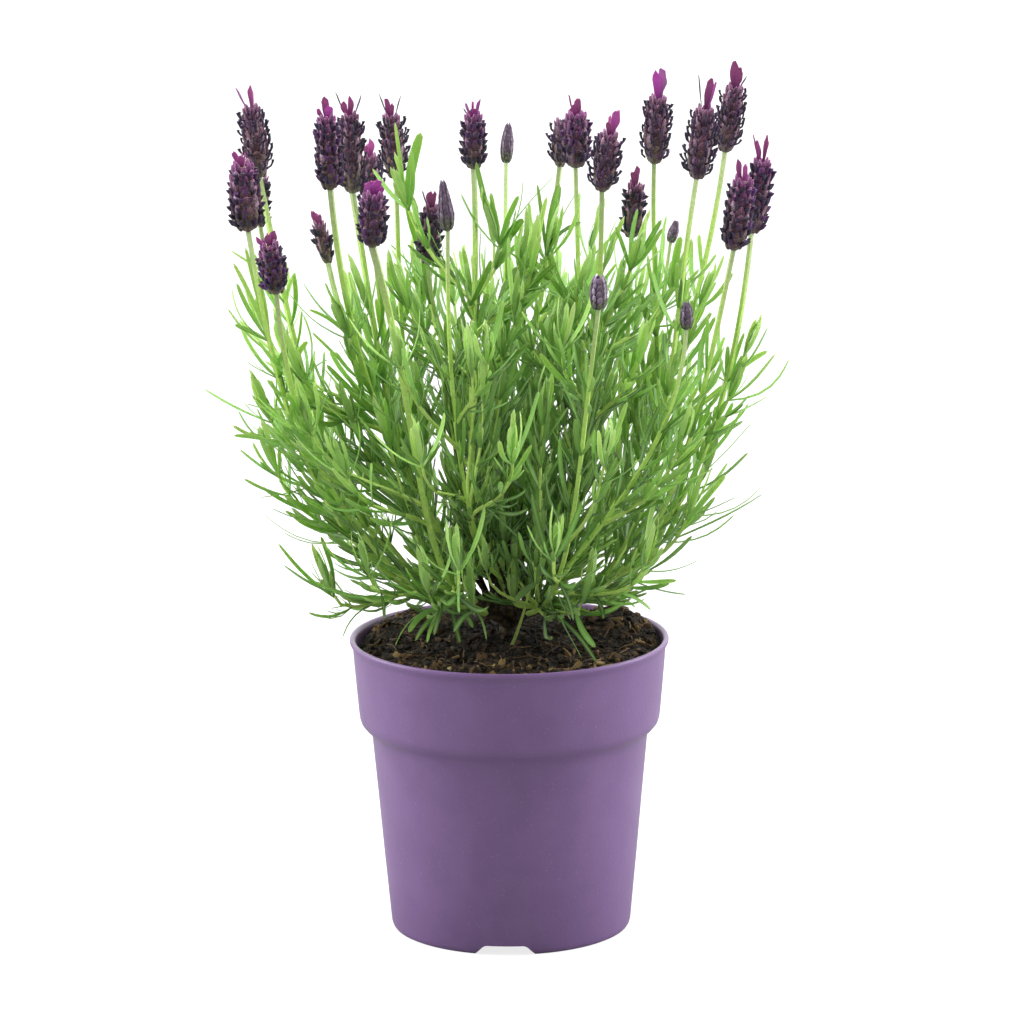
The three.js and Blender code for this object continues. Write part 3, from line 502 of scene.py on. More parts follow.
class Stem:
    """A stalk or a side shoot, with the straight stretches of its solid and its own smooth line."""

    def __init__(self, curve, owner, sizes, head=None, start_gap=0.0, end_gap=0.0):
        self.serial = next(serial_numbers)
        self.curve = curve
        self.owner = owner
        self.radius = sizes["radius"]
        self.steps = sizes["steps"]
        self.head = head
        self.length = curve.length
        self.first = start_gap / self.length
        self.last = 1 - end_gap / self.length
        self.level = level_with(np.cross(curve.point(1.0) - curve.point(0.0), UP), 1)
        self.bare_foot = BARE_FOOT
        self.knots = [self.point(i / self.steps) for i in range(self.steps + 1)]

    def point(self, t):
        return self.curve.point_at(self.first + (self.last - self.first) * t)

    def facing(self, tangent):
        normal = unit(self.level - tangent * (self.level @ tangent))
        return tangent, normal, np.cross(tangent, normal)

    def on_stretch(self, t):
        stretch = min(math.floor(t * self.steps), self.steps - 1)
        lower, upper = self.knots[stretch], self.knots[stretch + 1]
        point = lower + (upper - lower) * (t * self.steps - stretch)
        return (point, *self.facing(unit(upper - lower)))

    def on_line(self, t):
        before, after = self.point(max(t - 0.01, 0.0)), self.point(min(t + 0.01, 1.0))
        return (self.point(t), *self.facing(unit(after - before)))

    def balls(self):
        count = max(2, math.ceil(self.length / BALL_STEP))
        points = np.array([self.on_stretch(i / count)[0] for i in range(count + 1)])
        return points, np.full(len(points), float(self.radius))


class Room:
    """What already stands in the plant, as balls, so that whatever grows later stays clear of it."""

    def __init__(self):
        self.points = np.zeros((0, 3))
        self.radii = np.zeros(0)
        self.owners = np.zeros(0, dtype=int)
        self.pieces = np.zeros(0, dtype=int)

    def keep(self, balls, owner, piece):
        points, radii = balls
        self.points = np.vstack([self.points, points])
        self.radii = np.append(self.radii, radii)
        self.owners = np.append(self.owners, np.full(len(radii), owner))
        self.pieces = np.append(self.pieces, np.full(len(radii), piece))

    def is_clear(self, balls, margin, owner=None, pieces=()):
        points, radii = balls
        counted = ~np.isin(self.pieces, pieces)
        if owner is not None:
            counted &= self.owners != owner
        apart = np.linalg.norm(points[:, None, :] - self.points[None, counted, :], axis=2)
        return bool(np.all(apart > radii[:, None] + self.radii[None, counted] + margin))


HEADS_OWNER = -1


def leading_stalk(arm, azimuth, head):
    start = compass(azimuth, arm["radius"], arm["height"])
    x, y, z = head.foot
    rise = z - start[2]
    outward = vec(x * STALK["spread"], y * STALK["spread"], start[2] + STALK["start_rise"] * rise)
    below = head.foot - head.stalk_axis * STALK["end_pull"] * rise
    return Curve(start, outward, below, head.foot)


def side_stalk(leader, head, split):
    start, tangent = leader.on_stretch(split)[:2]
    reach = np.linalg.norm(head.foot - start)
    heading = unit(unit(head.foot - start) + tangent)
    along = start + heading * SIDE_STALK["start_pull"] * reach
    below = head.foot - head.stalk_axis * SIDE_STALK["end_pull"] * reach
    return Curve(start, along, below, head.foot)


def shoot_curve(start, tangent, tip):
    reach = np.linalg.norm(tip - start)
    outward = unit(vec(tip[0], tip[1], 0))
    heading = unit(tangent + outward)
    arrival = unit(UP + outward * SHOOT["tip_lean"])
    along = start + heading * SHOOT["start_pull"] * reach
    below = tip - arrival * SHOOT["end_pull"] * reach
    return Curve(start, along, below, tip)


def grow_stalks(room):
    """Each branch's stalks: a leading one from its arm, and others that split from it."""
    branches = []
    for owner, (arm, azimuth, numbers) in enumerate(BRANCHES):
        first, *others = [FLOWER_HEADS[number] for number in numbers]
        leader = Stem(leading_stalk(arm, azimuth, first), owner, STALK, first, GAP, GAP)
        stems = [leader]
        for i, head in enumerate(others):
            split = SIDE_STALK["split"] + SIDE_STALK["split_step"] * i
            stems.append(Stem(side_stalk(leader, head, split), owner, SIDE_STALK, head, 0.0, GAP))
        for stem in stems:
            room.keep(stem.balls(), owner, stem.serial)
        branches.append(stems)
    return branches


def shoot_starts(branches):
    starts = []
    for stems in branches:
        for i, stem in enumerate(stems):
            t = SHOOT["first_start"] if i == 0 else SHOOT["first_side_start"]
            while t < SHOOT["last_start"]:
                point, tangent = stem.on_stretch(t)[:2]
                starts.append((stem.owner, point, tangent))
                t += SHOOT["start_step"]
    return starts


def shoot_to(tip, drop, starts, sizes, room):
    """A shoot to a tip, from the nearest start from which it meets no other branch."""
    share = sizes["foot_share"]
    foot = vec(tip[0] * share, tip[1] * share, tip[2] - drop)
    starts.sort(key=lambda start: float(np.linalg.norm(start[1] - foot)))
    for owner, point, tangent in starts[:sizes["tries"]]:
        shoot = Stem(shoot_curve(point, tangent, tip), owner, sizes)
        if room.is_clear(shoot.balls(), SHOOT["clearance"], owner=owner):
            room.keep(shoot.balls(), owner, shoot.serial)
            return shoot
    return None


def grow_shoots(branches, room):
    starts = shoot_starts(branches)
    for tip in SHOOT_TIPS:
        shoot = shoot_to(vec(*tip), SHOOT["foot_drop"], starts, SHOOT, room)
        if shoot is not None:
            branches[shoot.owner].append(shoot)


def grow_filling(branches, room):
    """Thin shoots inside the bush, which the solids leave out: their tips are drawn within it."""
    random = Draws(515)
    starts = shoot_starts(branches)
    filling = [shoot_to(vec(*tip), SHOOT["foot_drop"], starts, INNER_SHOOT, room) for tip in EXTRA_TIPS]
    foot, tip = vec(*BASAL_SHOOT["foot"]), vec(*BASAL_SHOOT["tip"])
    basal = Stem(shoot_curve(foot, UP, tip), BASAL_SHOOT["branch"], INNER_SHOOT)
    basal.bare_foot = BASAL_SHOOT["bare"]
    filling.append(basal)
    for count, low, high, low_reach, high_reach in FILLING:
        for _ in range(count):
            share = random()
            reach = low_reach + (high_reach - low_reach) * share
            tip = compass(360 * random(), reach * math.sqrt(random()), low + (high - low) * share)
            drop = INNER_SHOOT["drop"] + INNER_SHOOT["drop_spread"] * random()
            filling.append(shoot_to(tip, drop, starts, INNER_SHOOT, room))
    return [shoot for shoot in filling if shoot is not None]


def soil_height(x, y):
    ripple = SOIL["ripple"] * math.sin(x * 0.31 + 1.3) * math.sin(y * 0.27 + 0.4)
    height = SOIL["level"] + SOIL["back_rise"] * y + ripple
    for heap_x, heap_y, radius, rise in HEAPS:
        distance = math.hypot(x - heap_x, y - heap_y) / radius
        if distance < 1:
            height += rise * (1 - distance * distance) ** 2
    return height


# ------------------------------------------------------------------ leaves

class Leaf:
    """A leaf's root and the way it opens from its stem, then curls back towards it."""

    def __init__(self, place, turn, tilt, random):
        self.serial = next(serial_numbers)
        self.turn = turn
        self.tilt = tilt
        self.root, self.axis, normal, binormal = place
        self.out = normal * math.cos(turn) + binormal * math.sin(turn)
        self.open = math.radians(LEAF["open"] + LEAF["open_spread"] * random() + tilt)
        self.curl = math.radians(LEAF["curl"] + LEAF["curl_spread"] * random())
        self.size = LEAF["length"] + LEAF["length_spread"] * random()
        self.rise = LEAF["rise"]
        self.roll = 0.0

    def solid_point(self, t):
        early = min(t, 0.5) * self.size
        late = max(t - 0.5, 0) * self.size
        near, far = self.open, self.open - self.curl
        return (
            self.root
            + self.axis * (early * math.cos(near) + late * math.cos(far))
            + self.out * (early * math.sin(near) + late * math.sin(far))
        )

    def balls(self):
        shares = [0.12, 0.25, 0.38, 0.5, 0.62, 0.75, 0.88, 1]
        points = np.array([self.solid_point(t) for t in shares])
        return points, vec(*[LEAF["half_width"] * max(0.25, 1 - abs(2 * t - 1)) for t in shares])


PITCH = math.radians(CAMERA["pitch"])


def seen_height(point):
    """The height on the plane Y = 0 at which a point is seen from the front."""
    return point[2] + point[1] * math.tan(PITCH)


def seen_leaves(branches, random):
    """The single leaves of the outline, each with its branch, rooted on the stem seen nearest its foot."""
    samples = []
    for stem in itertools.chain(*branches):
        leafy = 1 - BARE["open"] / stem.length if stem.head else 1.0
        samples += [(stem.owner, stem.point(t)) for t in np.linspace(0.1, leafy, 24)]
    points = np.array([point for _, point in samples])
    heights = seen_height(points.T)
    placed_leaves = []
    for root_x, root_height, tip_x, tip_height, arch, half_width, roll in SEEN_LEAVES:
        away = np.hypot(points[:, 0] - root_x, heights - root_height) + 0.06 * (points[:, 1] + 60)
        owner, root = samples[int(np.argmin(away))]
        tip = vec(tip_x, root[1] * 1.05, 0)
        tip[2] = tip_height - seen_height(tip)
        reach = np.linalg.norm(tip - root)
        if reach > LEAF["longest"]:
            continue
        ahead = (tip - root) / reach
        above = unit(UP - ahead * (ahead @ UP))
        turn = math.radians(arch) / 2
        axis = ahead * math.cos(turn) + above * math.sin(turn)
        out = ahead * math.sin(turn) - above * math.cos(turn)
        leaf = Leaf((root, axis, out, np.cross(axis, out)), 0.0, 0, random)
        leaf.open, leaf.curl, leaf.rise = 0.0, -2 * turn, 0.0
        leaf.size = reach * (1 + 0.04 * turn * turn)
        leaf.roll = math.radians(roll)
        placed_leaves.append((owner, leaf, half_width))
    return placed_leaves


def clear_of_pot(balls):
    for (x, y, z), radius in zip(*balls):
        from_axis = math.hypot(x, y)
        if from_axis > POT["lip_radius"] + 4:
            if z <= POT["step"]:
                return False
            continue
        ground = POT["height"] if from_axis > SOIL["flat_radius"] else soil_height(x, y)
        if z <= ground + radius + 1:
            return False
    return True


def solid_leaf(stem, distance, turn, seed, partner, room):
    """A leaf of the solids, turned and tilted so that it stands clear, or None where none does."""
    place = stem.on_stretch(clamp(distance / stem.length))
    pieces = [stem.serial] + ([partner.serial] if partner is not None else [])
    for turned in LEAF["turns"]:
        for tilt in LEAF["tilts"]:
            leaf = Leaf(place, turn + math.radians(turned), tilt, Draws(seed))
            balls = leaf.balls()
            if clear_of_pot(balls) and room.is_clear(balls, LEAF["clearance"], pieces=pieces):
                room.keep(balls, stem.owner, leaf.serial)
                return leaf
    return None


def blade_side(vertex):
    """Where a point is on a six-sided blade: at its edge on +X or -X, or between, and above or below."""
    angle = math.degrees(math.atan2(vertex.co.y, vertex.co.x)) % 360
    side = 1 if angle < 89 or angle > 271 else -1 if 91 < angle < 269 else 0
    return side, angle < 180


def leaf_shape(cuts):
    """A flat blade along z, from its root at 0 to its blunt tip at 1: grooved above and keeled below."""
    bm = tube_shape(6, cuts, pointed=True)
    for vertex in bm.verts:
        side, is_above = blade_side(vertex)
        if math.hypot(vertex.co.x, vertex.co.y) < 1e-6:
            side, thickness = 0, 0
        elif side == 0:
            thickness = -0.25 if is_above else -1
        else:
            thickness = 0.35 if is_above else -0.15
        vertex.co = (side, thickness, 1 - (1 - vertex.co.z) ** 1.5)
    return bm


leaf_mould = Mould("leaf", leaf_shape(6), material=1)
small_leaf_mould = Mould("small_leaf", leaf_shape(3), material=1)

# A blade's width along it: place and share of its widest.
BLADE = [
    (0, 0.4), (0.1, 0.52), (0.22, 0.74), (0.4, 0.93), (0.6, 1), (0.78, 0.97), (0.9, 0.84), (0.97, 0.6),
    (1, 0),
]


def press_leaf(bm, leaf, half_width, random, mould=leaf_mould, thickness=0.44, tone=0.5):
    """A leaf along its own bend, which also flicks at the tip, sways, droops or rises, and twists."""
    steps = 24
    shares = np.linspace(0, 1, steps + 1)
    flick = math.radians(14 * (random() - 0.35)) * shares**3
    angles = leaf.open - leaf.curl * (shares * shares * (3 - 2 * shares)) + flick
    sway = math.radians(random.about(16)) * shares**2
    x, y, t = mould.points.T

    def walked(headings, share_of_step):
        """How far a walk along changing headings has gone at each point."""
        middle = (headings[1:] + headings[:-1]) / 2
        gone = np.concatenate([[0], np.cumsum(share_of_step(middle) * (leaf.size / steps))])
        return np.interp(t, shares, gone)[:, None]

    across = unit(np.cross(leaf.axis, leaf.out))
    end_heading = leaf.axis * math.cos(angles[-1]) + leaf.out * math.sin(angles[-1])
    lift = leaf.size * leaf.rise * (max(0.75 - end_heading[2], 0) if leaf.rise > 0 else 1)
    centre = (
        leaf.root
        + leaf.axis * walked(angles, np.cos)
        + leaf.out * walked(angles, np.sin)
        + across * walked(sway, np.sin)
        + UP * (lift * t**2.4)[:, None]
    )
    angle = np.interp(t, shares, angles)
    up = leaf.axis * np.sin(angle)[:, None] - leaf.out * np.cos(angle)[:, None]
    twist = leaf.roll + math.radians(random.about(50)) * t
    turned_across = across * np.cos(twist)[:, None] + up * np.sin(twist)[:, None]
    turned_up = up * np.cos(twist)[:, None] - across * np.sin(twist)[:, None]
    width = half_width * np.interp(t, *zip(*BLADE))
    points = (
        centre
        + turned_across * (x * width)[:, None]
        + turned_up * (y * thickness * (0.4 + 0.6 * (1 - t)))[:, None]
    )
    mould.press(bm, points, tone, t, x)


def meets_head(leaf):
    """Whether a leaf's outer half would run through a flower head."""
    for point in (leaf.solid_point(t) for t in (0.45, 0.7, 1.0)):
        for head in FLOWER_HEADS.values():
            height = (point - head.foot) @ head.axis
            if -1 < height < head.length + 6:
                if np.linalg.norm(point - head.foot - head.axis * height) < head.radius + 1:
                    return True
    return False


def too_low(leaf):
    """Whether a leaf would dip into the soil or through the pot's wall."""
    for t in (0.4, 0.7, 1.0):
        x, y, z = leaf.solid_point(t)
        z += min(leaf.rise, 0) * leaf.size * t * t
        inside = math.hypot(x, y) < 60
        if z < (soil_height(x, y) + 1.0 if inside else POT["height"] + 2.5):
            return True
    return False


def has_no_room(leaf, random):
    """Whether a leaf of the looks alone is left out, where it meets something or the bush is open."""
    if too_low(leaf) or meets_head(leaf):
        return True
    middle = leaf.solid_point(0.6)
    height = seen_height(middle)
    missing = [share for x, z, radius, share in OPENINGS if math.hypot(middle[0] - x, height - z) < radius]
    return random() < max(missing, default=0.0)


def front_stalk_points(branches):
    """Points along the flower stalks that show from their heads down to the crown."""
    return np.array([
        stem.point(t) for stem in itertools.chain(*branches)
        if stem.head and stem.head.number in FRONT_STALKS for t in np.linspace(0.15, 1, 40)
    ])


def hides_front_stalk(leaf, front, random):
    """Whether a leaf is left out because it would stand before a flower stalk at the front."""
    for t in (0.3, 0.6, 0.9):
        x, y, z = leaf.solid_point(t)
        above = (front[:, 1] - y) * math.sin(PITCH) + (front[:, 2] - z) * math.cos(PITCH)
        if np.any((np.hypot(front[:, 0] - x, above) < FRONT["clearance"]) & (front[:, 1] > y)):
            return random() < FRONT["left_out"]
    return False


NODES_PER_PAIR = 4


def leaf_nodes(stem):
    """Where leaves stand: the solids' pairs, and between them more, each a quarter turn from the next."""
    leafy_end = stem.length - (STALK["bare"] if stem.head else LEAF["tip_gap"])
    step = LEAF["pair_step"] / NODES_PER_PAIR
    nodes = []
    if stem.head:
        extra = int((STALK["bare"] - BARE["bud" if stem.head.number in SMALL_BUDS else "open"]) / step)
        nodes = [(leafy_end + i * step, math.radians(45 - 90 * i), None) for i in range(extra, 0, -1)]
    count = 0
    distance = leafy_end
    while distance > stem.bare_foot:
        pair, between = divmod(count, NODES_PER_PAIR)
        turn = math.radians(45 + 90 * (pair + between))
        nodes.append((distance, turn, pair if between == 0 else None))
        count += 1
        distance -= step
    return nodes


# Places where the leaves get painted shade, where the bush looks darkest seen from the front: x, height and
# radius.
SHADED = [
    (-20, 240, 13), (-20, 215, 14), (-18, 190, 14), (-8, 165, 14), (29, 205, 13), (27, 185, 12),
    (13, 146, 16),
]
# How light a leaf's green is: by its height and how far out it grows, which is painted light and shade, and
# by how young it is, which is its own.
BUSH = {"low": 130, "height": 170, "radius": 90}
LEAF_PAINTED_LIGHT_AND_YOUTH = {"height": 0.46, "outward": 0.46, "young": 0.24, "least": -0.12, "shaded": -0.24, "spread": 0.66}


def leaf_tone(root, random, young=0.0):
    """Painted light on the outside and near the tips of the bush, painted shade low down, inside and at the
    shaded places; young leaves paler.
    """
    height = LEAF_PAINTED_LIGHT_AND_YOUTH["height"] * clamp((root[2] - BUSH["low"]) / BUSH["height"])
    outward = LEAF_PAINTED_LIGHT_AND_YOUTH["outward"] * min(math.hypot(root[0], root[1]) / BUSH["radius"], 1) ** 2
    painted_light_and_youth = height + outward + LEAF_PAINTED_LIGHT_AND_YOUTH["young"] * young + LEAF_PAINTED_LIGHT_AND_YOUTH["least"]
    # Leaves at the shaded places get extra painted shade.
    if any(math.hypot(root[0] - x, seen_height(root) - z) < reach for x, z, reach in SHADED):
        painted_light_and_youth += LEAF_PAINTED_LIGHT_AND_YOUTH["shaded"]
    return clamp(painted_light_and_youth + random.about(LEAF_PAINTED_LIGHT_AND_YOUTH["spread"]))


# The looks' own leaves: how far they stray round their stem and in their tilt, and how upright they stand
# below and how much more above. Low at the outside they are longer, and before the crown many droop.
BETWEEN = {"stray": 56, "tilt": 28, "upright": 5, "more_upright": 15, "low": 150, "height": 110}
LONG = {"below": 185, "outside": 58, "longer": 1.3}
DROOPING = {"below": 156, "before": -14, "inside": 50, "share": 0.6}


def leaf_between(place, facing, random):
    """A leaf of the looks alone, and its half width: long at the low rim, drooping before the crown."""
    x, y, z = place[0]
    from_axis = math.hypot(x, y)
    stray = math.radians(random.about(BETWEEN["stray"]))
    upright = BETWEEN["upright"] + BETWEEN["more_upright"] * clamp((z - BETWEEN["low"]) / BETWEEN["height"])
    leaf = Leaf(place, facing + stray, random.about(BETWEEN["tilt"]) - upright, random)
    leaf.size *= 0.48 + 0.5 * random()
    if z < LONG["below"] and from_axis > LONG["outside"]:
        leaf.size *= LONG["longer"]
    beside_crown = y < DROOPING["before"] and from_axis < DROOPING["inside"]
    if z < DROOPING["below"] and beside_crown and random() < DROOPING["share"]:
        leaf.rise = LEAF["droop"]
    leaf.curl *= 1.35 * random() - 0.25
    return leaf, LEAF["half_width"] * (0.42 + 0.24 * random())


def dress_stem(bm, stem, number, room, front):
    """Presses a stem's leaves: its solid's own ones, which share the solids' room, and those between."""
    random = Draws(9000 + number)
    for distance, turn, pair in leaf_nodes(stem):
        place = stem.on_line(clamp(distance / stem.length))
        solid = None
        for side in (0, 1):
            facing = turn + math.pi * side
            if room is not None and pair is not None and distance > LEAF["lowest"]:
                seed = 1000 * number + 10 * pair + 1 + side
                solid = solid_leaf(stem, distance, facing, seed, solid, room)
                if solid is None:
                    continue
                leaf = Leaf(place, solid.turn, solid.tilt, Draws(seed))
                width = LEAF["half_width"] * (0.5 + 0.14 * random())
            else:
                leaf, width = leaf_between(place, facing, random)
                if has_no_room(leaf, random) or hides_front_stalk(leaf, front, random):
                    continue
            young = 0 if stem.head else max(0, 1 - (stem.length - distance) / 30)
            press_leaf(bm, leaf, width, random, tone=leaf_tone(place[0], random, young))
            axil_leaves(bm, place, facing, random, front)
    if stem.head is None:
        crown_of_tip(bm, stem, random)


def axil_leaves(bm, place, facing, random, front):
    """Small leaves in the angle between a leaf and its stem."""
    for _ in range(1 + int(3.2 * random())):
        small = Leaf(place, facing + math.radians(random.about(100)), -16 * random(), random)
        small.size *= 0.28 + 0.36 * random()
        if hides_front_stalk(small, front, random) or has_no_room(small, random):
            continue
        width = 0.68 + 0.36 * random()
        tone = leaf_tone(place[0], random)
        press_leaf(bm, small, width, random, small_leaf_mould, 0.28, tone)


def crown_of_tip(bm, stem, random):
    """The young leaves that close round a shoot's tip."""
    place = stem.on_line(1.0)
    for i in range(6):
        young = Leaf(place, math.radians(60 * i + 40 * random()), -30, random)
        young.size *= 0.45 + 0.4 * random()
        press_leaf(bm, young, 1.05, random, small_leaf_mould, 0.3, 0.78 + 0.22 * random())


def press_stem(bm, stem):
    """A stem's smooth line as a tube, sunk a little into what carries it and into its head."""
    count = max(6, int(stem.length / 6))
    shares = np.linspace(0, 1, count + 1)
    path = [stem.point(t) for t in shares]
    path[0] = path[0] - unit(path[1] - path[0]) * 1.2
    base, top, tone = 1.0, 0.6, 0.0
    if stem.head:
        path[-1] = path[-1] + unit(path[-1] - path[-2]) * 1.5
        width = STALK_WIDTHS.get(stem.head.number, 1.0)
        base, top = 0.56 + 0.36 * width, 0.92 * width
        bare_from = 1 - STALK["bare"] / stem.length
        tone = np.clip((shares - bare_from) / max(1 - bare_from, 0.05), 0, 1)
        # Stalks seen at the front are painted brighter low down, as painted light where the bush shades them.
        if stem.head.number in FRONT_STALKS:
            tone = np.maximum(tone, 0.5)
    base, top = stem.radius * base, stem.radius * top
    press_tube(bm, path, base + (top - base) * shares, 8, 0.12, stem.level, tone=tone)


# ------------------------------------------------------------------ flower heads

def egg_shape():
    """A calyx: a small closed egg along z, from 0 to 1, with a pointed top."""
    bm = bmesh.new()
    bmesh.ops.create_uvsphere(bm, u_segments=6, v_segments=5, radius=1.0)
    bmesh.ops.scale(bm, vec=(1, 1, 0.5), verts=bm.verts)
    bmesh.ops.translate(bm, vec=(0, 0, 0.5), verts=bm.verts)
    for vertex in bm.verts:
        pinch = 1 - 0.35 * vertex.co.z**2
        vertex.co.x *= pinch
        vertex.co.y *= pinch
    return bm


def corolla_shape():
    """A floret: a little tube along z that opens into five lobes, and is hollow in its face."""
    bm = tube_shape(10, 3)
    profile = [(0.62, 0.0), (0.6, 0.45), (0.7, 0.78), (1.0, 1.0), (0.35, 0.86)]
    for vertex in bm.verts:
        row = int(round(vertex.co.z * 4))
        angle = math.atan2(vertex.co.y, vertex.co.x)
        radius, height = profile[row]
        lobe = 1 + (0.28 * math.cos(5 * angle) if row in (2, 3) else 0)
        vertex.co = (radius * lobe * math.cos(angle), radius * lobe * math.sin(angle), height)
    return bm


def petal_shape():
    """A bract: a thin blade along z, narrow at its foot and widest near its rounded top."""
    bm = tube_shape(6, 7)
    widths = [0.4, 0.46, 0.56, 0.72, 0.88, 0.98, 1.0, 0.88, 0.5]
    for vertex in bm.verts:
        row = int(round(vertex.co.z * 8))
        side, is_above = blade_side(vertex)
        thickness = 1 if side == 0 else 0.6
        vertex.co = (side * widths[row], thickness if is_above else -thickness, vertex.co.z)
    return bm


calyx_mould = Mould("calyx", egg_shape(), material=0, rim=True)
corolla_mould = Mould("corolla", corolla_shape(), material=1)
petal_mould = Mould("petal", petal_shape())


def press_along(bm, mould, root, direction, around, size, bend=0.0, tone=0.5, across=0.0, shape=None):
    """Presses an upright mould at a root, along a direction, and bends it upwards by `bend`."""
    side = unit(around - direction * (around @ direction))
    lift = np.cross(direction, side)
    width, thickness, length = size
    x, y, z = mould.points.T if shape is None else shape
    turned = bend * z
    if abs(bend) < 1e-3:
        ahead, above = z * length, z * 0
    else:
        ahead = np.sin(turned) / bend * length
        above = (1 - np.cos(turned)) / bend * length
    points = (
        root
        + side * (x * width)[:, None]
        + direction * (ahead - y * thickness * np.sin(turned))[:, None]
        + lift * (above + y * thickness * np.cos(turned))[:, None]
    )
    mould.press(bm, points, tone, mould.points[:, 2], across)


def press_on_head(bm, mould, head, angle, rise, root_radius, lean_out, size, bend, tone, across):
    """Presses a scale or a floret, rooted inside its head and leaning out from the head's axis."""
    out = head.outward(angle)
    root = head.foot + head.axis * rise + out * root_radius
    direction = unit(head.axis * math.cos(lean_out) + out * math.sin(lean_out))
    press_along(bm, mould, root, direction, np.cross(head.axis, out), size, bend, tone, across)


RANKS = 4
FLORETS = 12
TIER_HEIGHT = 3.4
VIOLET_HEADS = (2, 4, 5, 9, 13, 15, 21, 22)
GREEN_FOOTED_HEADS = (6, 7, 17, 18)
# Heads whose florets stand close, as dark rounded flowers, where the others' hook out.
COMPACT_HEADS = (2, 3, 4, 5, 9, 10, 11, 13, 15, 21, 22, 23)
# Heads that end this much below their solid's top.
TRIMMED = {9: 3.6, 10: 4.0, 8: 1.5}
# Heads that look stouter or slimmer than their solid, and heads whose scales are paler and barer.
GIRTHS = {2: 1.17, 3: 0.72, 15: 1.06}
PALE_HEADS = {10: 0.22}
# An open head's scales in its ranks, and in the paler seams between them: how far they stand above their
# tier, how many degrees they lean out, their half width and their brightness.
SCALES = {"rank": (0.0, 12, 0.34, 0.28), "seam": (1.0, 8, 0.24, 0.66)}
SPIKE = {
    "core": 0.62,
    "scale_length": 5.4,
    "scale_share": 0.3,
    "scale_thickness": 0.17,
    "scale_root": 0.46,
    "compact_scale_root": 0.52,
    "missing_florets": 0.12,
    "missing_on_pale": 0.55,
}
FLORET = {
    "root": 0.6,
    "flare": 0.56,
    "flare_spread": 0.24,
    "length": 3.7,
    "length_spread": 1.5,
    "compact_flare": 1.6,
    "compact_length": 0.68,
}
# A bud's scales: how far they stand above their tier, as a share of it, their half width and brightness.
BUD_SCALES = {"rank": (0.0, 0.4, 0.18), "seam": (0.45, 0.28, 0.5)}

# The closed buds: the outline from foot to tip as shares of the length and of the solid's radius, the
# length of a scale, the height of a tier of scales, and how much paler the scales are.
BUDS = {
    12: ([(0, 0.42), (0.16, 0.84), (0.38, 1.0), (0.62, 0.76), (0.84, 0.46), (1, 0.2)], 3.6, 2.1, 0.05),
    14: ([(0, 0.46), (0.18, 1.0), (0.4, 1.16), (0.6, 1.06), (0.8, 0.7), (1, 0.24)], 3.0, 1.9, 0.0),
    24: ([(0, 0.55), (0.25, 0.98), (0.5, 1.1), (0.75, 0.86), (1, 0.34)], 2.4, 1.5, 0.0),
    25: ([(0, 0.6), (0.16, 0.9), (0.45, 1.04), (0.8, 1.0), (1, 0.62)], 3.2, 2.6, 0.34),
    26: ([(0, 0.6), (0.2, 0.96), (0.5, 1.1), (0.8, 0.86), (1, 0.4)], 2.8, 2.1, 0.16),
}
SMALL_BUDS = (24, 25, 26)


def scale_columns():
    """The upright ranks of a head, each followed by the seam beside it: how far round, and which."""
    return [(math.pi * column / RANKS, "seam" if column % 2 else "rank") for column in range(2 * RANKS)]


def fullness(t):
    """A spike's girth along it, as a share of its widest."""
    return 0.74 + 0.26 * math.sin(math.pi * min(1, 0.15 + 0.95 * t))


def press_core(bm, head, height, radii):
    shares = np.linspace(0, 1, len(radii))
    press_tube(bm, [head.foot + head.axis * (0.2 + t * height) for t in shares], radii, 10, tone=0.1)


def make_head(head, materials):
    """A flower head as one piece: an open spike, or a closed bud."""
    bm = bmesh.new()
    random = Draws(4000 + head.number)
    form, press = ("bud", press_bud) if head.number in BUDS else ("spike", press_spike)
    press(bm, head, random)
    face_outwards(bm)
    finish_piece(f"flower_head_{head.number:02d}", bm, materials[form], f"spike_{head.number:02d}", 60)


def press_spike(bm, head, random):
    """Upright ranks of downy scales with paler seams between them, and rings of dark florets."""
    length = head.length - TRIMMED.get(head.number, 0)
    radius = head.radius * GIRTHS.get(head.number, 1.0)
    paler = PALE_HEADS.get(head.number, 0.0)
    is_compact = head.number in COMPACT_HEADS
    violet = 1.0 if head.number in VIOLET_HEADS else 0.74
    leafy_foot = 0.0 if head.number in GREEN_FOOTED_HEADS else 0.13
    root = SPIKE["compact_scale_root" if is_compact else "scale_root"]
    missing = SPIKE["missing_on_pale" if paler else "missing_florets"]
    core_radii = [SPIKE["core"] * radius * fullness(t) for t in np.linspace(0, 1, 9)]
    core_radii[0] *= 0.45
    core_radii[-1] *= 0.4
    press_core(bm, head, length - 2.0, core_radii)
    scale_length = min(SPIKE["scale_length"], SPIKE["scale_share"] * length)
    tiers = max(3, int(round((length - scale_length) / TIER_HEIGHT)) + 1)
    girths = [0.62, 0.9] + [1.0] * (tiers - 3) + [0.84]
    start = math.radians(random.about(24))
    for tier, girth in enumerate(girths):
        t = tier / (tiers - 1)
        height = 0.3 + t * (length - scale_length - 0.5)
        reach = radius * fullness((height + scale_length * 0.5) / length)
        for way, kind in scale_columns():
            higher, lean, width, brightness = SCALES[kind]
            angle = start + way + random.about(0.2)
            rise = height + higher + random.about(0.9)
            lean_out = math.radians(lean + 6 * random())
            thickness = SPIKE["scale_thickness"] * radius
            size = (reach * width * girth, thickness, scale_length * (0.9 + 0.15 * random()))
            tone = brightness + paler + random.about(0.5)
            press_on_head(
                bm, calyx_mould, head, angle, rise, reach * root * girth, lean_out,
                size, -0.1, tone, max(t * violet, leafy_foot),
            )
        if tier == tiers - 1:
            continue
        for i in range(FLORETS):
            if random() < missing:
                continue
            angle = start + 2 * math.pi * (i + 0.5 * (tier % 2)) / FLORETS
            press_floret(bm, head, angle, height, reach, t, violet, is_compact, random)


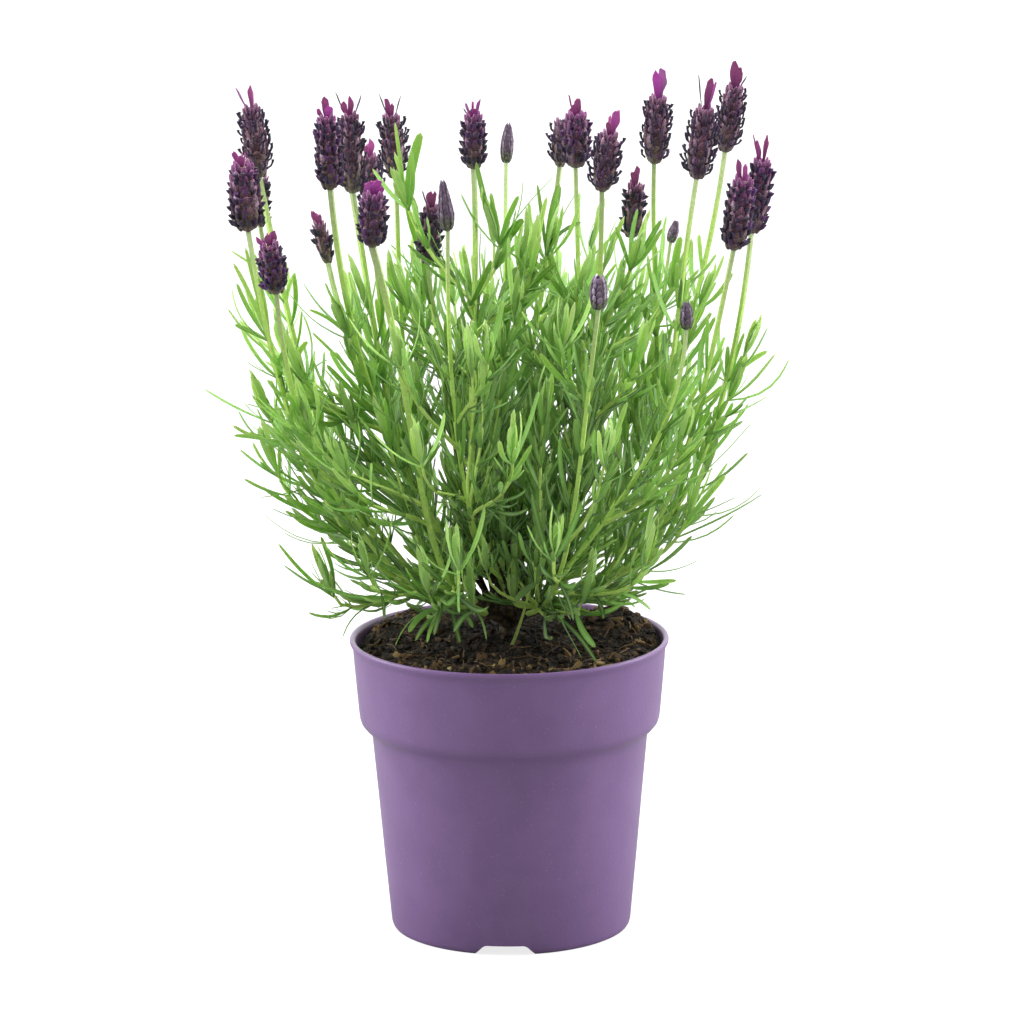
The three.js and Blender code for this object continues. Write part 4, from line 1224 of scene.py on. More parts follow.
def press_floret(bm, head, angle, height, reach, t, violet, is_compact, random):
    """A dark corolla that leaves its scale sideways and hooks up, or is short and wide on some heads."""
    angle += random.about(0.24)
    rise = height + 2.0 + 1.4 * random()
    lean_out = math.radians(88 - 26 * random())
    flare = FLORET["flare"] + FLORET["flare_spread"] * random()
    length = FLORET["length"] + FLORET["length_spread"] * random()
    if is_compact:
        flare *= FLORET["compact_flare"]
        length *= FLORET["compact_length"]
    size = (flare, flare, length)
    bend = 1.2 + 0.7 * random()
    press_on_head(
        bm, corolla_mould, head, angle, rise, reach * FLORET["root"], lean_out,
        size, bend, random() * violet, t,
    )


def press_bud(bm, head, random):
    """Small downy scales that lie close, in upright ranks within the bud's outline."""
    outline, scale_length, tier_height, paler = BUDS[head.number]
    length, radius = head.length, head.radius
    shares, widths = zip(*outline)
    core_radii = 0.8 * radius * np.interp(np.linspace(0, 1, 9), shares, widths)
    core_radii[-1] *= 0.5
    press_core(bm, head, length - 1.0, core_radii)
    start = math.radians(random.about(24))
    for tier in range(int(length / tier_height)):
        for way, kind in scale_columns():
            higher, width, brightness = BUD_SCALES[kind]
            angle = start + way + random.about(0.16)
            rise = clamp((tier + higher + random.about(0.2)) * tier_height, 0.2, length - 0.7 * scale_length)
            near, far = radius * np.interp([rise / length, (rise + scale_length) / length], shares, widths)
            lean_out = math.atan2(far - near, scale_length) + math.radians(3 + 4 * random())
            size = (width * (near + far) / 2, 0.15 * radius, scale_length)
            tone = brightness + paler + random.about(0.36)
            press_on_head(
                bm, calyx_mould, head, angle, rise, 0.8 * near, lean_out, size, 0.0, tone, rise / length
            )


# Each tuft's bracts: how far their tip stands sideways and above the spike's top, half width, brightness.
# Brightness 0 is a thin grey thread.
TUFTS = {
    1: [(0.4, 7.4, 1.0, 0.4), (-5.0, 7.0, 0.42, 0.95)],
    2: [(-2.8, 4.6, 1.2, 0.55), (-0.8, 2.8, 1.5, 0.4)],
    4: [(3.0, 3.4, 1.4, 0.2), (0.0, 2.6, 1.3, 0.3), (-4.6, 1.6, 0.9, 0.5)],
    5: [(-0.3, 6.6, 1.5, 0.35), (1.4, 3.0, 1.7, 0.75), (-3.4, 1.8, 0.9, 0.4)],
    6: [(0.4, 5.9, 1.25, 0.3), (-2.8, 4.2, 1.3, 0.35), (-5.4, 8.1, 0.28, 0), (4.8, 6.5, 0.28, 0)],
    7: [(-1.5, 5.9, 1.1, 0.3), (0.8, 3.6, 1.0, 0.35), (-3.9, 7.7, 0.28, 0), (4.5, 6.5, 0.28, 0)],
    8: [(0.2, 5.4, 1.4, 0.5), (-2.0, 3.0, 1.0, 0.35)],
    9: [(-2.8, 2.6, 1.6, 0.85), (2.0, 4.4, 1.6, 0.8), (-0.6, 3.6, 1.7, 0.6), (3.6, 1.6, 1.2, 0.7)],
    10: [(-1.5, 4.2, 1.1, 0.3), (0.8, 2.4, 1.2, 0.35)],
    11: [(-1.4, 4.6, 1.4, 0.4), (0.8, 5.0, 1.1, 0.35), (-4.2, 4.4, 0.3, 0)],
    13: [(-2.9, 3.9, 0.6, 0.95), (2.6, 5.4, 0.7, 0.85), (0.2, 1.6, 1.6, 0.4), (-3.8, 1.8, 0.28, 0)],
    15: [(0.6, 4.8, 1.5, 0.2), (-1.6, 2.6, 1.4, 0.3), (-3.2, 6.6, 0.34, 0.3)],
    17: [(2.2, 7.9, 1.9, 0.6), (-0.6, 3.4, 1.3, 0.3)],
    18: [(1.5, 10.6, 2.0, 0.9), (-1.0, 9.0, 1.9, 0.8)],
    19: [(1.0, 10.8, 1.7, 0.25), (3.2, 9.8, 0.5, 0.85), (-4.1, 11.4, 0.28, 0)],
    20: [(-1.2, 9.0, 1.9, 0.3), (1.4, 6.8, 1.6, 0.25), (4.2, 3.6, 0.28, 0)],
    21: [(-3.1, 6.5, 1.1, 0.35), (0.4, 4.8, 1.1, 0.55)],
    22: [(0.2, 9.0, 0.95, 0.4), (-4.0, 6.8, 1.2, 0.5), (-5.4, 8.4, 0.3, 0.3)],
    23: [(0.0, 6.6, 1.2, 0.4), (-1.8, 4.0, 1.0, 0.3)],
}


def make_tuft(head, material):
    """A spike's bracts: those that are seen from the front, and shorter ones behind them."""
    sideways, back = -head.right, -head.forward
    random = Draws(6000 + head.number)
    bm = bmesh.new()
    top = head.foot + head.axis * (head.length - TRIMMED.get(head.number, 0))
    bracts = list(TUFTS[head.number])
    tallest = max(height for _, height, half_width, _ in bracts if half_width > 0.5)
    for _ in range(2):
        bracts.append((random.about(3), tallest * (0.55 + 0.25 * random()), 1.1 + 0.4 * random(), 0.4))
    for i, (reach, height, half_width, brightness) in enumerate(bracts):
        is_behind = i >= len(bracts) - 2
        depth = 1.4 if is_behind else -1.0 if i % 2 else -0.2
        yaw = math.radians(random.about(36) + (75 if is_behind else 0))
        root = top - head.axis * 3.0 + sideways * reach * 0.25 + back * depth * 0.5
        chord = head.axis * (height + 3.0) + sideways * reach * 0.75 + back * depth
        span = np.linalg.norm(chord)
        around = sideways * math.cos(yaw) + back * math.sin(yaw)
        press_bract(bm, root, chord / span, around, (half_width, 0.25, span), brightness, random)
    face_outwards(bm)
    finish_piece(f"bract_tuft_{head.number:02d}", bm, [material], f"tuft_{head.number:02d}", 60)


def press_bract(bm, root, direction, around, size, brightness, random):
    """A bract of its own outline: waved along its edges, and cut slantwise at its top."""
    x, y, z = petal_mould.points.T
    wave, slant, shift = 6 * random(), random.about(0.3), 10 * random()
    edge = 1 + 0.22 * np.sin(wave + 9 * z + 2 * x) * z
    ragged = z - slant * x * z**3 - 0.06 * np.sin(shift + 5 * x) * z**4
    shape = (x * edge + 0.5 * slant * z * z, y, ragged)
    press_along(bm, petal_mould, root, direction, around, size, random.about(0.3), brightness, x, shape)


# ------------------------------------------------------------------ crown

def press_twigs(bm, arms):
    """Thin bare twigs that stand up between the arms, inside the bush."""
    random = Draws(313)
    for i in range(TWIGS["count"]):
        start = arms[i % len(arms)][2 + int(4 * random())]
        stray = vec(random.about(1.2), random.about(1.2), 1)
        heading = unit(stray + 0.3 * unit(start * [1, 1, 0]))
        length = TWIGS["length"] + TWIGS["length_spread"] * random()
        bow = vec(random() - 0.5, random() - 0.5, 0) * 0.3 * length
        points = [start + heading * length * t + bow * t * t for t in np.linspace(0, 1, 6)]
        press_tube(bm, points, np.linspace(TWIGS["radius"], TWIGS["tip_radius"], 6), 6)


def make_crown(branches, material):
    bm = bmesh.new()
    rows = np.linspace(TRUNK[0][0], TRUNK[-1][0], 9)
    press_tube(bm, [(0, 0, z) for z in rows], np.interp(rows, *zip(*TRUNK)), 12)
    rows = np.linspace(LEADER["bottom"], LEADER["top"], 5)
    press_tube(bm, [(0, 0, z) for z in rows], np.linspace(LEADER["radius"], LEADER["top_radius"], 5), 10)
    arms = []
    for (arm, _, _), stems in zip(BRANCHES, branches):
        curve = stems[0].curve
        end = curve.point(0.0)
        fork = vec(0, 0, arm["fork"])
        tangent = unit(curve.point(0.0001) - end)
        bend = end - tangent * ARM["pull"] * np.linalg.norm(end - fork)
        path = [(1 - t) ** 2 * fork + 2 * t * (1 - t) * bend + t * t * end for t in np.linspace(0, 1, 7)]
        press_tube(bm, path, np.linspace(ARM["radius"], ARM["end_radius"], 7), 8)
        arms.append(path)
    press_twigs(bm, arms)
    for vertex in bm.verts:
        vertex.co.x += 0.35 * noise.fractal(vertex.co * 0.45, 1.0, 2.0, 3)
        vertex.co.y += 0.35 * noise.noise(vertex.co * 0.5)
    face_outwards(bm)
    finish_piece("woody_crown", bm, [material], "crown")


# ------------------------------------------------------------------ pot

def spin_profile(bm, profile, steps):
    """Turns a profile of radius and height, which starts and ends on the pot's axis, once round it."""
    verts = [bm.verts.new((radius, 0, height)) for radius, height in profile]
    edges = [bm.edges.new(pair) for pair in zip(verts, verts[1:])]
    bmesh.ops.spin(
        bm, geom=verts + edges, cent=(0, 0, 0), axis=(0, 0, 1), dvec=(0, 0, 0),
        angle=2 * math.pi, steps=steps, use_merge=True, use_duplicate=False,
    )
    bmesh.ops.remove_doubles(bm, verts=bm.verts, dist=0.001)
    centres = [v for v in bm.verts if math.hypot(v.co.x, v.co.y) < 0.01]
    bmesh.ops.remove_doubles(bm, verts=centres, dist=0.1)


def notch_and_drain_cutters():
    bm = bmesh.new()
    for vertex in bmesh.ops.create_cube(bm, size=1.0)["verts"]:
        low = vertex.co.z < 0
        half = NOTCH["bottom"] / 2 + 2 if low else NOTCH["top"] / 2
        vertex.co.x = half if vertex.co.x > 0 else -half
        vertex.co.y = -NOTCH["inner"] if vertex.co.y > 0 else -NOTCH["inner"] - NOTCH["depth"]
        vertex.co.z = -2 if low else NOTCH["height"]
    corners = [
        edge for edge in bm.edges
        if min(v.co.z for v in edge.verts) > 0 and abs(edge.verts[0].co.y - edge.verts[1].co.y) > 1
    ]
    bmesh.ops.bevel(
        bm, geom=corners, offset=1.2, affect="EDGES", segments=3, profile=0.5, material=-1
    )
    whole = list(bm.verts) + list(bm.edges) + list(bm.faces)
    for i in range(NOTCH["count"]):
        azimuth = NOTCH["azimuth"] + 360 / NOTCH["count"] * i
        turn = Matrix.Rotation(math.radians(azimuth + 90), 3, "Z")
        copy = bmesh.ops.duplicate(bm, geom=whole)["geom"]
        verts = [part for part in copy if isinstance(part, bmesh.types.BMVert)]
        bmesh.ops.rotate(bm, cent=(0, 0, 0), matrix=turn, verts=verts)
    bmesh.ops.delete(bm, geom=[part for part in whole if isinstance(part, bmesh.types.BMVert)])
    for i in range(DRAIN["count"]):
        centre = compass(DRAIN["azimuth"] + 360 / DRAIN["count"] * i, DRAIN["circle"], 5.0)
        bmesh.ops.create_cone(
            bm, cap_ends=True, segments=28, radius1=DRAIN["radius"], radius2=DRAIN["radius"],
            depth=12, matrix=Matrix.Translation(centre),
        )
    bmesh.ops.scale(bm, vec=(MM, MM, MM), verts=bm.verts)
    face_outwards(bm)
    return placed("pot_cutters", mesh_of("pot_cutters", bm))


def make_pot(material):
    bm = bmesh.new()
    floor = [(0.001, POT["floor_underside"]), (0.001, POT["floor_top"])]
    spin_profile(bm, [floor[0], *POT_OUTSIDE, *POT_INSIDE, floor[1]], 144)
    face_outwards(bm)
    pot = finish_piece("nursery_pot", bm, [material], "pot")
    cutters = notch_and_drain_cutters()
    cut = pot.modifiers.new("cuts", "BOOLEAN")
    cut.operation = "DIFFERENCE"
    cut.solver = "EXACT"
    cut.object = cutters
    graph = bpy.context.evaluated_depsgraph_get()
    mesh = bpy.data.meshes.new_from_object(pot.evaluated_get(graph))
    pot.modifiers.clear()
    pot.data = mesh
    bpy.data.objects.remove(cutters)
    mesh.shade_smooth()
    mesh.set_sharp_from_angle(angle=math.radians(38))


# ------------------------------------------------------------------ soil

def rough_soil_height(x, y):
    coarse = 1.3 * noise.noise((x * 0.16, y * 0.16, 3.0))
    return soil_height(x, y) + coarse + 0.7 * noise.noise((x * 0.6, y * 0.6, 7.0))


def edge_drop(radius):
    """How far the soil sinks towards the pot's wall."""
    return SOIL["rim_drop"] * clamp((radius - SOIL["flat_radius"]) / SOIL["edge_width"])


def make_soil(material):
    bm = bmesh.new()
    edge = SOIL["level"] - SOIL["rim_drop"]
    top = [(radius, SOIL["level"]) for radius in (*np.linspace(60, 1.5, 34), 0.001)]
    spin_profile(bm, [(0.001, SOIL_SIDE[0][1]), *SOIL_SIDE, (SOIL["edge_radius"], edge), *top], 120)
    for vertex in bm.verts:
        x, y, z = vertex.co
        if z >= edge - 1:
            vertex.co.z = rough_soil_height(x, y) - edge_drop(math.hypot(x, y))
    face_outwards(bm)
    finish_piece("potting_mix", bm, [material], "soil")


def ball_shape(subdivisions):
    bm = bmesh.new()
    bmesh.ops.create_icosphere(bm, subdivisions=subdivisions, radius=1.0)
    return bm


def chip_shape():
    bm = bmesh.new()
    bmesh.ops.create_cube(bm, size=2.0)
    bmesh.ops.bevel(
        bm, geom=list(bm.edges), offset=0.3, affect="EDGES", segments=1, profile=0.5, material=-1
    )
    return bm


def litter_tone(place, random):
    """Litter is paler towards the pot's wall, above all at the front, and dark round the plant's foot."""
    front = 0.2 if place[1] < -16 else 0.0
    return random() * min(1.0, 0.3 + front + 0.9 * (math.hypot(place[0], place[1]) / 60) ** 2)


def tumbled(points, random):
    """Turns points by a random rotation about the origin."""
    a, b, c = (2 * math.pi * random() for _ in range(3))
    turn = Matrix.Rotation(a, 3, "Z") @ Matrix.Rotation(b, 3, "X") @ Matrix.Rotation(c, 3, "Y")
    return points @ np.array(turn).T


def lumpy(mould, size, flatness, random):
    """A tumbled lump of a ball mould, with its own dents, a little flat."""
    dents = 1 + 0.5 * (np.array([random() for _ in mould.points]) - 0.5)
    return tumbled(mould.points * dents[:, None] * size * vec(1, 0.8, flatness), random)


def soil_place(random, reach):
    radius = reach * math.sqrt(random())
    x, y, _ = compass(360 * random(), radius, 0)
    return vec(x, y, rough_soil_height(x, y) - edge_drop(radius))


# How much loose litter lies on the soil, and how far out.
LITTER = {"crumbs": (2600, 60.5), "chips": (150, 58), "fibres": (170, 57)}


def make_crumbs(materials):
    """The loose litter on the soil: crumbs, ochre lumps, bark chips and fibres."""
    random = Draws(77)
    crumb = Mould("crumb", ball_shape(1), 0)
    chip = Mould("chip", chip_shape(), 1)
    stone = Mould("stone", ball_shape(2), 1)
    bm = bmesh.new()
    count, reach = LITTER["crumbs"]
    for _ in range(count):
        place = soil_place(random, reach)
        size = 0.5 + 1.5 * random() ** 2.2
        points = lumpy(crumb, size, 0.65, random) + place
        crumb.press(bm, points, litter_tone(place, random))
    for x, y, size in STONES:
        points = lumpy(stone, size, 0.6, random) + vec(x, y, rough_soil_height(x, y) + 0.2 * size)
        stone.press(bm, points, 0.72 + 0.28 * random())
    count, reach = LITTER["chips"]
    for _ in range(count):
        place = soil_place(random, reach)
        size = vec(1.1 + 2.2 * random() ** 2, 0.7 + 0.8 * random(), 0.3 + 0.3 * random())
        points = tumbled(chip.points * size, random) + place + UP * 0.5
        chip.press(bm, points, litter_tone(place, random))
    count, reach = LITTER["fibres"]
    for _ in range(count):
        place = soil_place(random, reach)
        press_fibre(bm, place, random)
    finish_piece("soil_crumbs", bm, materials, sharp_angle=40)


def press_fibre(bm, place, random):
    """A thin bowed fibre that follows the soil and stays inside the pot."""
    heading = 2 * math.pi * random()
    length = 4 + 9 * random()
    sway = random.about(3)
    path = []
    for t in np.linspace(-0.5, 0.5, 5):
        x = place[0] + length * t * math.cos(heading) - sway * t * t * math.sin(heading)
        y = place[1] + length * t * math.sin(heading) + sway * t * t * math.cos(heading)
        limit = min(1, 60 / max(math.hypot(x, y), 1))
        x, y = x * limit, y * limit
        path.append((x, y, rough_soil_height(x, y) + 0.6 + 1.6 * random() * (0.25 - t * t)))
    radius = 0.16 + 0.14 * random()
    press_tube(bm, path, radius, 4, material=2, tone=litter_tone(place, random))


# ------------------------------------------------------------------ materials

def srgb(red, green, blue):
    """A colour of the screen, 0 to 255, as the linear colour a shader takes."""
    def linear(value):
        value /= 255
        return value / 12.92 if value <= 0.04045 else ((value + 0.055) / 1.055) ** 2.4
    return (linear(red), linear(green), linear(blue), 1.0)


def set_inputs(node, values):
    for socket, value in values.items():
        node.inputs[socket].default_value = value


def speckle_group():
    """Noise on Object coordinates: a mask from 0 to 1 whose size, sharpness and level are given."""
    group = bpy.data.node_groups.new("Speckle", "ShaderNodeTree")
    for socket, way in (("Scale", "INPUT"), ("Low", "INPUT"), ("High", "INPUT"), ("Mask", "OUTPUT")):
        group.interface.new_socket(socket, in_out=way, socket_type="NodeSocketFloat")
    inside = group.nodes.new("NodeGroupInput")
    outside = group.nodes.new("NodeGroupOutput")
    place = group.nodes.new("ShaderNodeTexCoord")
    grain = group.nodes.new("ShaderNodeTexNoise")
    spread = group.nodes.new("ShaderNodeMapRange")
    set_inputs(grain, {"Detail": 4.0})
    group.links.new(place.outputs["Object"], grain.inputs["Vector"])
    group.links.new(inside.outputs["Scale"], grain.inputs["Scale"])
    group.links.new(grain.outputs["Fac"], spread.inputs["Value"])
    group.links.new(inside.outputs["Low"], spread.inputs["From Min"])
    group.links.new(inside.outputs["High"], spread.inputs["From Max"])
    group.links.new(spread.outputs["Result"], outside.inputs["Mask"])
    return group


SPECKLE = speckle_group()


class Finish:
    """A material in the making: nodes that feed its Principled shader, whose plain values are given."""

    def __init__(self, name, values):
        self.material = bpy.data.materials.new(name)
        self.material.use_nodes = True
        self.nodes = self.material.node_tree.nodes
        self.links = self.material.node_tree.links
        self.shader = self.nodes["Principled BSDF"]
        set_inputs(self.shader, values)

    def attribute(self, name):
        node = self.nodes.new("ShaderNodeAttribute")
        node.attribute_name = name
        return node.outputs["Fac"]

    def ramp(self, factor, stops):
        node = self.nodes.new("ShaderNodeValToRGB")
        elements = node.color_ramp.elements
        while len(elements) < len(stops):
            elements.new(0.5)
        for element, (position, colour) in zip(elements, stops):
            element.position = position
            element.color = colour
        self.links.new(factor, node.inputs["Fac"])
        return node.outputs["Color"]

    def colours(self, factor, stops):
        """A ramp of screen colours: each stop is a position, and red, green and blue of 0 to 255."""
        return self.ramp(factor, [(position, srgb(*colour)) for position, *colour in stops])

    def shares(self, factor, *stops):
        """A ramp of shares: each stop is a position, and a share or one each for red, green and blue."""
        colours = [shares if len(shares) == 3 else shares * 3 for _, *shares in stops]
        return self.ramp(factor, [(stop[0], (*colour, 1)) for stop, colour in zip(stops, colours)])

    def mixed(self, factor, first, second, blend="MIX"):
        node = self.nodes.new("ShaderNodeMix")
        node.data_type = "RGBA"
        node.blend_type = blend
        for socket, value in (("Factor", factor), (6, first), (7, second)):
            if isinstance(value, bpy.types.NodeSocket):
                self.links.new(value, node.inputs[socket])
            else:
                node.inputs[socket].default_value = value
        return node.outputs[2]

    def shaded(self, colour, factor, *stops):
        """A colour times a ramp of shares."""
        return self.mixed(1.0, colour, self.shares(factor, *stops), "MULTIPLY")

    def speckle(self, scale, low=0.35, high=0.65):
        node = self.nodes.new("ShaderNodeGroup")
        node.node_tree = SPECKLE
        set_inputs(node, {"Scale": scale, "Low": low, "High": high})
        return node.outputs["Mask"]

    def done(self, colour, grain, strength, distance):
        """Gives the shader its colour, and a fine bumpy grain."""
        self.links.new(colour, self.shader.inputs["Base Color"])
        node = self.nodes.new("ShaderNodeBump")
        set_inputs(node, {"Strength": strength, "Distance": distance})
        self.links.new(self.speckle(grain), node.inputs["Height"])
        self.links.new(node.outputs["Normal"], self.shader.inputs["Normal"])
        return self.material


def pot_plastic():
    """Smooth lilac plastic with faint clouds and scuffs."""
    finish = Finish("lilac pot plastic", {"Roughness": 0.36, "Specular IOR Level": 0.5})
    colour = finish.mixed(finish.speckle(60, 0.3, 0.7), srgb(127, 98, 147), srgb(135, 105, 155))
    colour = finish.mixed(finish.speckle(900, 0.62, 0.74), colour, srgb(146, 115, 164))
    return finish.done(colour, 700, 0.12, 0.0002)


def speckled(name, roughness, stops, scale, strength, distance):
    """A rough finish whose colour is patchy all over."""
    finish = Finish(name, {"Roughness": roughness})
    return finish.done(finish.colours(finish.speckle(scale), stops), 900, strength, distance)


def toned(name, roughness, stops):
    """A matte finish whose colour runs over the pieces' own tone, broken up by a fine grain."""
    finish = Finish(name, {"Roughness": roughness})
    colour = finish.colours(finish.attribute("tone"), stops)
    colour = finish.shaded(colour, finish.speckle(1500), (0.0, 0.72), (1.0, 1))
    return finish.done(colour, 1500, 0.5, 0.0003)


def stalk_green():
    finish = Finish("pale stalk", {"Roughness": 0.55})
    # The middle stop is also the painted light of the front stalks' lower parts.
    stops = [(0.0, 200, 232, 120), (0.5, 206, 242, 124), (1.0, 198, 215, 158)]
    colour = finish.colours(finish.attribute("tone"), stops)
    colour = finish.shaded(colour, finish.speckle(700), (0.0, 0.82, 0.86, 0.78), (1.0, 1))
    return finish.done(colour, 1800, 0.3, 0.0002)


def leaf_green():
    """Leaves from deep to yellow green, with a paler groove and a grey down underneath."""
    finish = Finish("downy leaf", {
        "Roughness": 0.5,
        "Sheen Weight": 0.12,
        "Subsurface Weight": 0.4,
        "Subsurface Radius": (0.8, 1.0, 0.45),
        "Subsurface Scale": 0.0012,
    })
    # The tone runs from dark to pale green and carries the leaves' painted light and shade as well as their
    # youth.
    stops = [(0.0, 26, 54, 13), (0.3, 90, 146, 46), (0.65, 156, 214, 90), (1.0, 206, 248, 140)]
    colour = finish.colours(finish.attribute("tone"), stops)
    off_centre = finish.nodes.new("ShaderNodeMath")
    off_centre.operation = "ABSOLUTE"
    finish.links.new(finish.attribute("across"), off_centre.inputs[0])
    midrib = finish.shares(off_centre.outputs[0], (0.0, 0.4), (0.25, 0))
    colour = finish.mixed(midrib, colour, srgb(164, 208, 104))
    underside = finish.shares(finish.attribute("under"), (0.0, 0), (1.0, 0.6))
    colour = finish.mixed(underside, colour, srgb(138, 184, 98))
    colour = finish.shaded(colour, finish.speckle(1300), (0.0, 0.86, 0.9, 0.84), (1.0, 1))
    return finish.done(colour, 2400, 0.25, 0.0002)


# Downy scales: their colours over the tone, at the head's foot, at its top and at a scale's rim, how
# strong the rim is, and how dark the down's ribs are.
OPEN_CALYX = {
    "name": "downy calyx",
    "tones": [(0.0, 78, 42, 56), (0.45, 128, 86, 104), (1.0, 200, 168, 186)],
    "foot": (142, 128, 92),
    "top": (164, 82, 158),
    "rim": (176, 152, 172),
    "rim_share": 0.55,
    "rib": 0.5,
}
BUD_CALYX = {
    "name": "bud calyx",
    "tones": [(0.0, 70, 54, 76), (0.5, 124, 104, 128), (1.0, 200, 186, 206)],
    "foot": (104, 118, 74),
    "top": (112, 92, 122),
    "rim": (176, 158, 180),
    "rim_share": 0.75,
    "rib": 0.8,
}


def calyx_purple(calyx):
    """Downy scales: dark with pale edges, greenish at the head's foot and more violet at its top."""
    finish = Finish(calyx["name"], {"Roughness": 0.8, "Sheen Weight": 0.3})
    colour = finish.colours(finish.attribute("tone"), calyx["tones"])
    height = finish.attribute("across")
    colour = finish.mixed(finish.shares(height, (0.0, 1), (0.24, 0)), colour, srgb(*calyx["foot"]))
    colour = finish.mixed(finish.shares(height, (0.55, 0), (1.0, 0.62)), colour, srgb(*calyx["top"]))
    colour = finish.shaded(
        colour, finish.attribute("along"),
        (0.0, 0.55), (0.6, 0.95), (0.88, 1.25, 1.2, 1.25), (1.0, 1.4, 1.3, 1.4),
    )
    rim = finish.shares(finish.attribute("under"), (0.6, 0), (1.0, calyx["rim_share"]))
    colour = finish.mixed(rim, colour, srgb(*calyx["rim"]))
    rib = calyx["rib"]
    colour = finish.shaded(
        colour, finish.speckle(2000, 0.4, 0.6), (0.0, rib, 0.92 * rib, rib), (1.0, 1.25, 1.2, 1.25)
    )
    return finish.done(colour, 2600, 0.6, 0.0004)


def magenta_bract():
    """Thin petal-like bracts: dusky at the foot, from dull to bright magenta above, with darker veins."""
    finish = Finish("magenta bract", {"Roughness": 0.5})
    stops = [
        (0.0, 112, 92, 116), (0.15, 158, 80, 130), (0.5, 192, 90, 164), (0.8, 208, 84, 196),
        (1.0, 208, 156, 204),
    ]
    colour = finish.colours(finish.attribute("tone"), stops)
    colour = finish.shaded(
        colour, finish.attribute("along"),
        (0.0, 0.22, 0.2, 0.26), (0.4, 0.7, 0.62, 0.72), (0.8, 1.0), (1.0, 0.9, 0.8, 0.86),
    )
    vein = finish.nodes.new("ShaderNodeTexWave")
    set_inputs(vein, {"Scale": 1.1, "Distortion": 0.6})
    place = finish.nodes.new("ShaderNodeCombineXYZ")
    finish.links.new(finish.attribute("across"), place.inputs["X"])
    finish.links.new(place.outputs["Vector"], vein.inputs["Vector"])
    colour = finish.shaded(colour, vein.outputs["Fac"], (0.0, 0.8, 0.76, 0.8), (1.0, 1))
    return finish.done(colour, 1500, 0.3, 0.0002)


# ------------------------------------------------------------------ the whole plant

def make_branches(branches, room, materials):
    """Each branch as one piece: its stems and leaves, its thin inner shoots and its single seen leaves."""
    filling = list(enumerate(grow_filling(branches, Room()), sum(len(stems) for stems in branches)))
    front = front_stalk_points(branches)
    random = Draws(2718)
    single = seen_leaves(branches, random)
    number = 0
    for i, stems in enumerate(branches):
        bm = bmesh.new()
        for stem in stems:
            press_stem(bm, stem)
            dress_stem(bm, stem, number, room, front)
            number += 1
        for inner_number, shoot in filling:
            if shoot.owner == i:
                press_stem(bm, shoot)
                dress_stem(bm, shoot, inner_number, None, front)
        for owner, leaf, half_width in single:
            if owner == i:
                tone = leaf_tone(leaf.root, random, 0.4)
                press_leaf(bm, leaf, half_width, random, tone=tone)
        finish_piece(f"leafy_branch_{i + 1:02d}", bm, materials, f"branch_{i + 1:02d}", 50)


# Screen colours, each at its place from dark to pale.
MIX_COLOURS = [(0.0, 17, 13, 8), (0.5, 35, 26, 17), (0.85, 60, 45, 28), (1.0, 94, 74, 46)]
CRUMB_COLOURS = [(0.0, 16, 12, 8), (0.55, 40, 30, 20), (0.85, 86, 64, 38), (1.0, 146, 116, 70)]
CHIP_COLOURS = [(0.0, 44, 32, 20), (0.5, 92, 68, 40), (0.9, 150, 124, 74), (1.0, 184, 164, 108)]
FIBRE_COLOURS = [(0.0, 50, 36, 24), (0.5, 96, 72, 46), (1.0, 164, 136, 92)]
BARK_COLOURS = [(0.0, 38, 29, 22), (0.5, 64, 51, 36), (1.0, 104, 90, 62)]
COROLLA_COLOURS = [(0.0, 58, 54, 72), (0.5, 82, 66, 100), (0.8, 92, 54, 108), (1.0, 122, 76, 142)]


def main():
    make_pot(pot_plastic())
    make_soil(speckled("dark potting mix", 0.95, MIX_COLOURS, 420, 0.9, 0.001))
    make_crumbs([
        toned("soil crumbs", 0.95, CRUMB_COLOURS),
        toned("bark chips", 0.85, CHIP_COLOURS),
        toned("coir fibres", 0.8, FIBRE_COLOURS),
    ])
    room = Room()
    branches = grow_stalks(room)
    for head in FLOWER_HEADS.values():
        room.keep(head.balls(), HEADS_OWNER, HEADS_OWNER)
    grow_shoots(branches, room)
    make_crown(branches, speckled("greyish bark", 0.85, BARK_COLOURS, 500, 0.8, 0.0006))
    make_branches(branches, room, [stalk_green(), leaf_green()])
    corolla = toned("dark violet corolla", 0.6, COROLLA_COLOURS)
    head_materials = {"spike": [calyx_purple(OPEN_CALYX), corolla], "bud": [calyx_purple(BUD_CALYX)]}
    bract = magenta_bract()
    for head in FLOWER_HEADS.values():
        make_head(head, head_materials)
        if head.tuft:
            make_tuft(head, bract)


# ------------------------------------------------------------------ studio

STUDIO = {
    "front": 0.02,
    "sides": 1.9,
    "backdrop": 1.05,
    "front_edge": -0.8,
    "side_edge": 0.0,
    "floor_glow": 0.8,
}
TOP_BOX = {"shape": "RECTANGLE", "size": 1.4, "size_y": 1.4}
SIDE_BOX = {"shape": "RECTANGLE", "size": 0.9, "size_y": 1.3}
SPOT = {"spot_size": math.radians(9.4), "spot_blend": 0.7, "shadow_soft_size": 0.22}
# Each light's kind, where it stands, what it shines at, its power and its settings, in metres.
LIGHTS = {
    "top_softbox": ("AREA", (0, -0.1, 1.7), (0, 0, 0.2), 8, TOP_BOX),
    "left_softbox": ("AREA", (-1.5, 0.15, 0.7), (0, 0, 0.2), 15, SIDE_BOX),
    "left_plant_fill": ("SPOT", (-1.0, -1.0, 1.25), (0, 0, 0.29), 54, SPOT),
    "right_softbox": ("AREA", (1.5, 0.15, 0.7), (0, 0, 0.2), 15, SIDE_BOX),
    "right_plant_fill": ("SPOT", (1.0, -1.0, 1.25), (0, 0, 0.29), 54, SPOT),
}


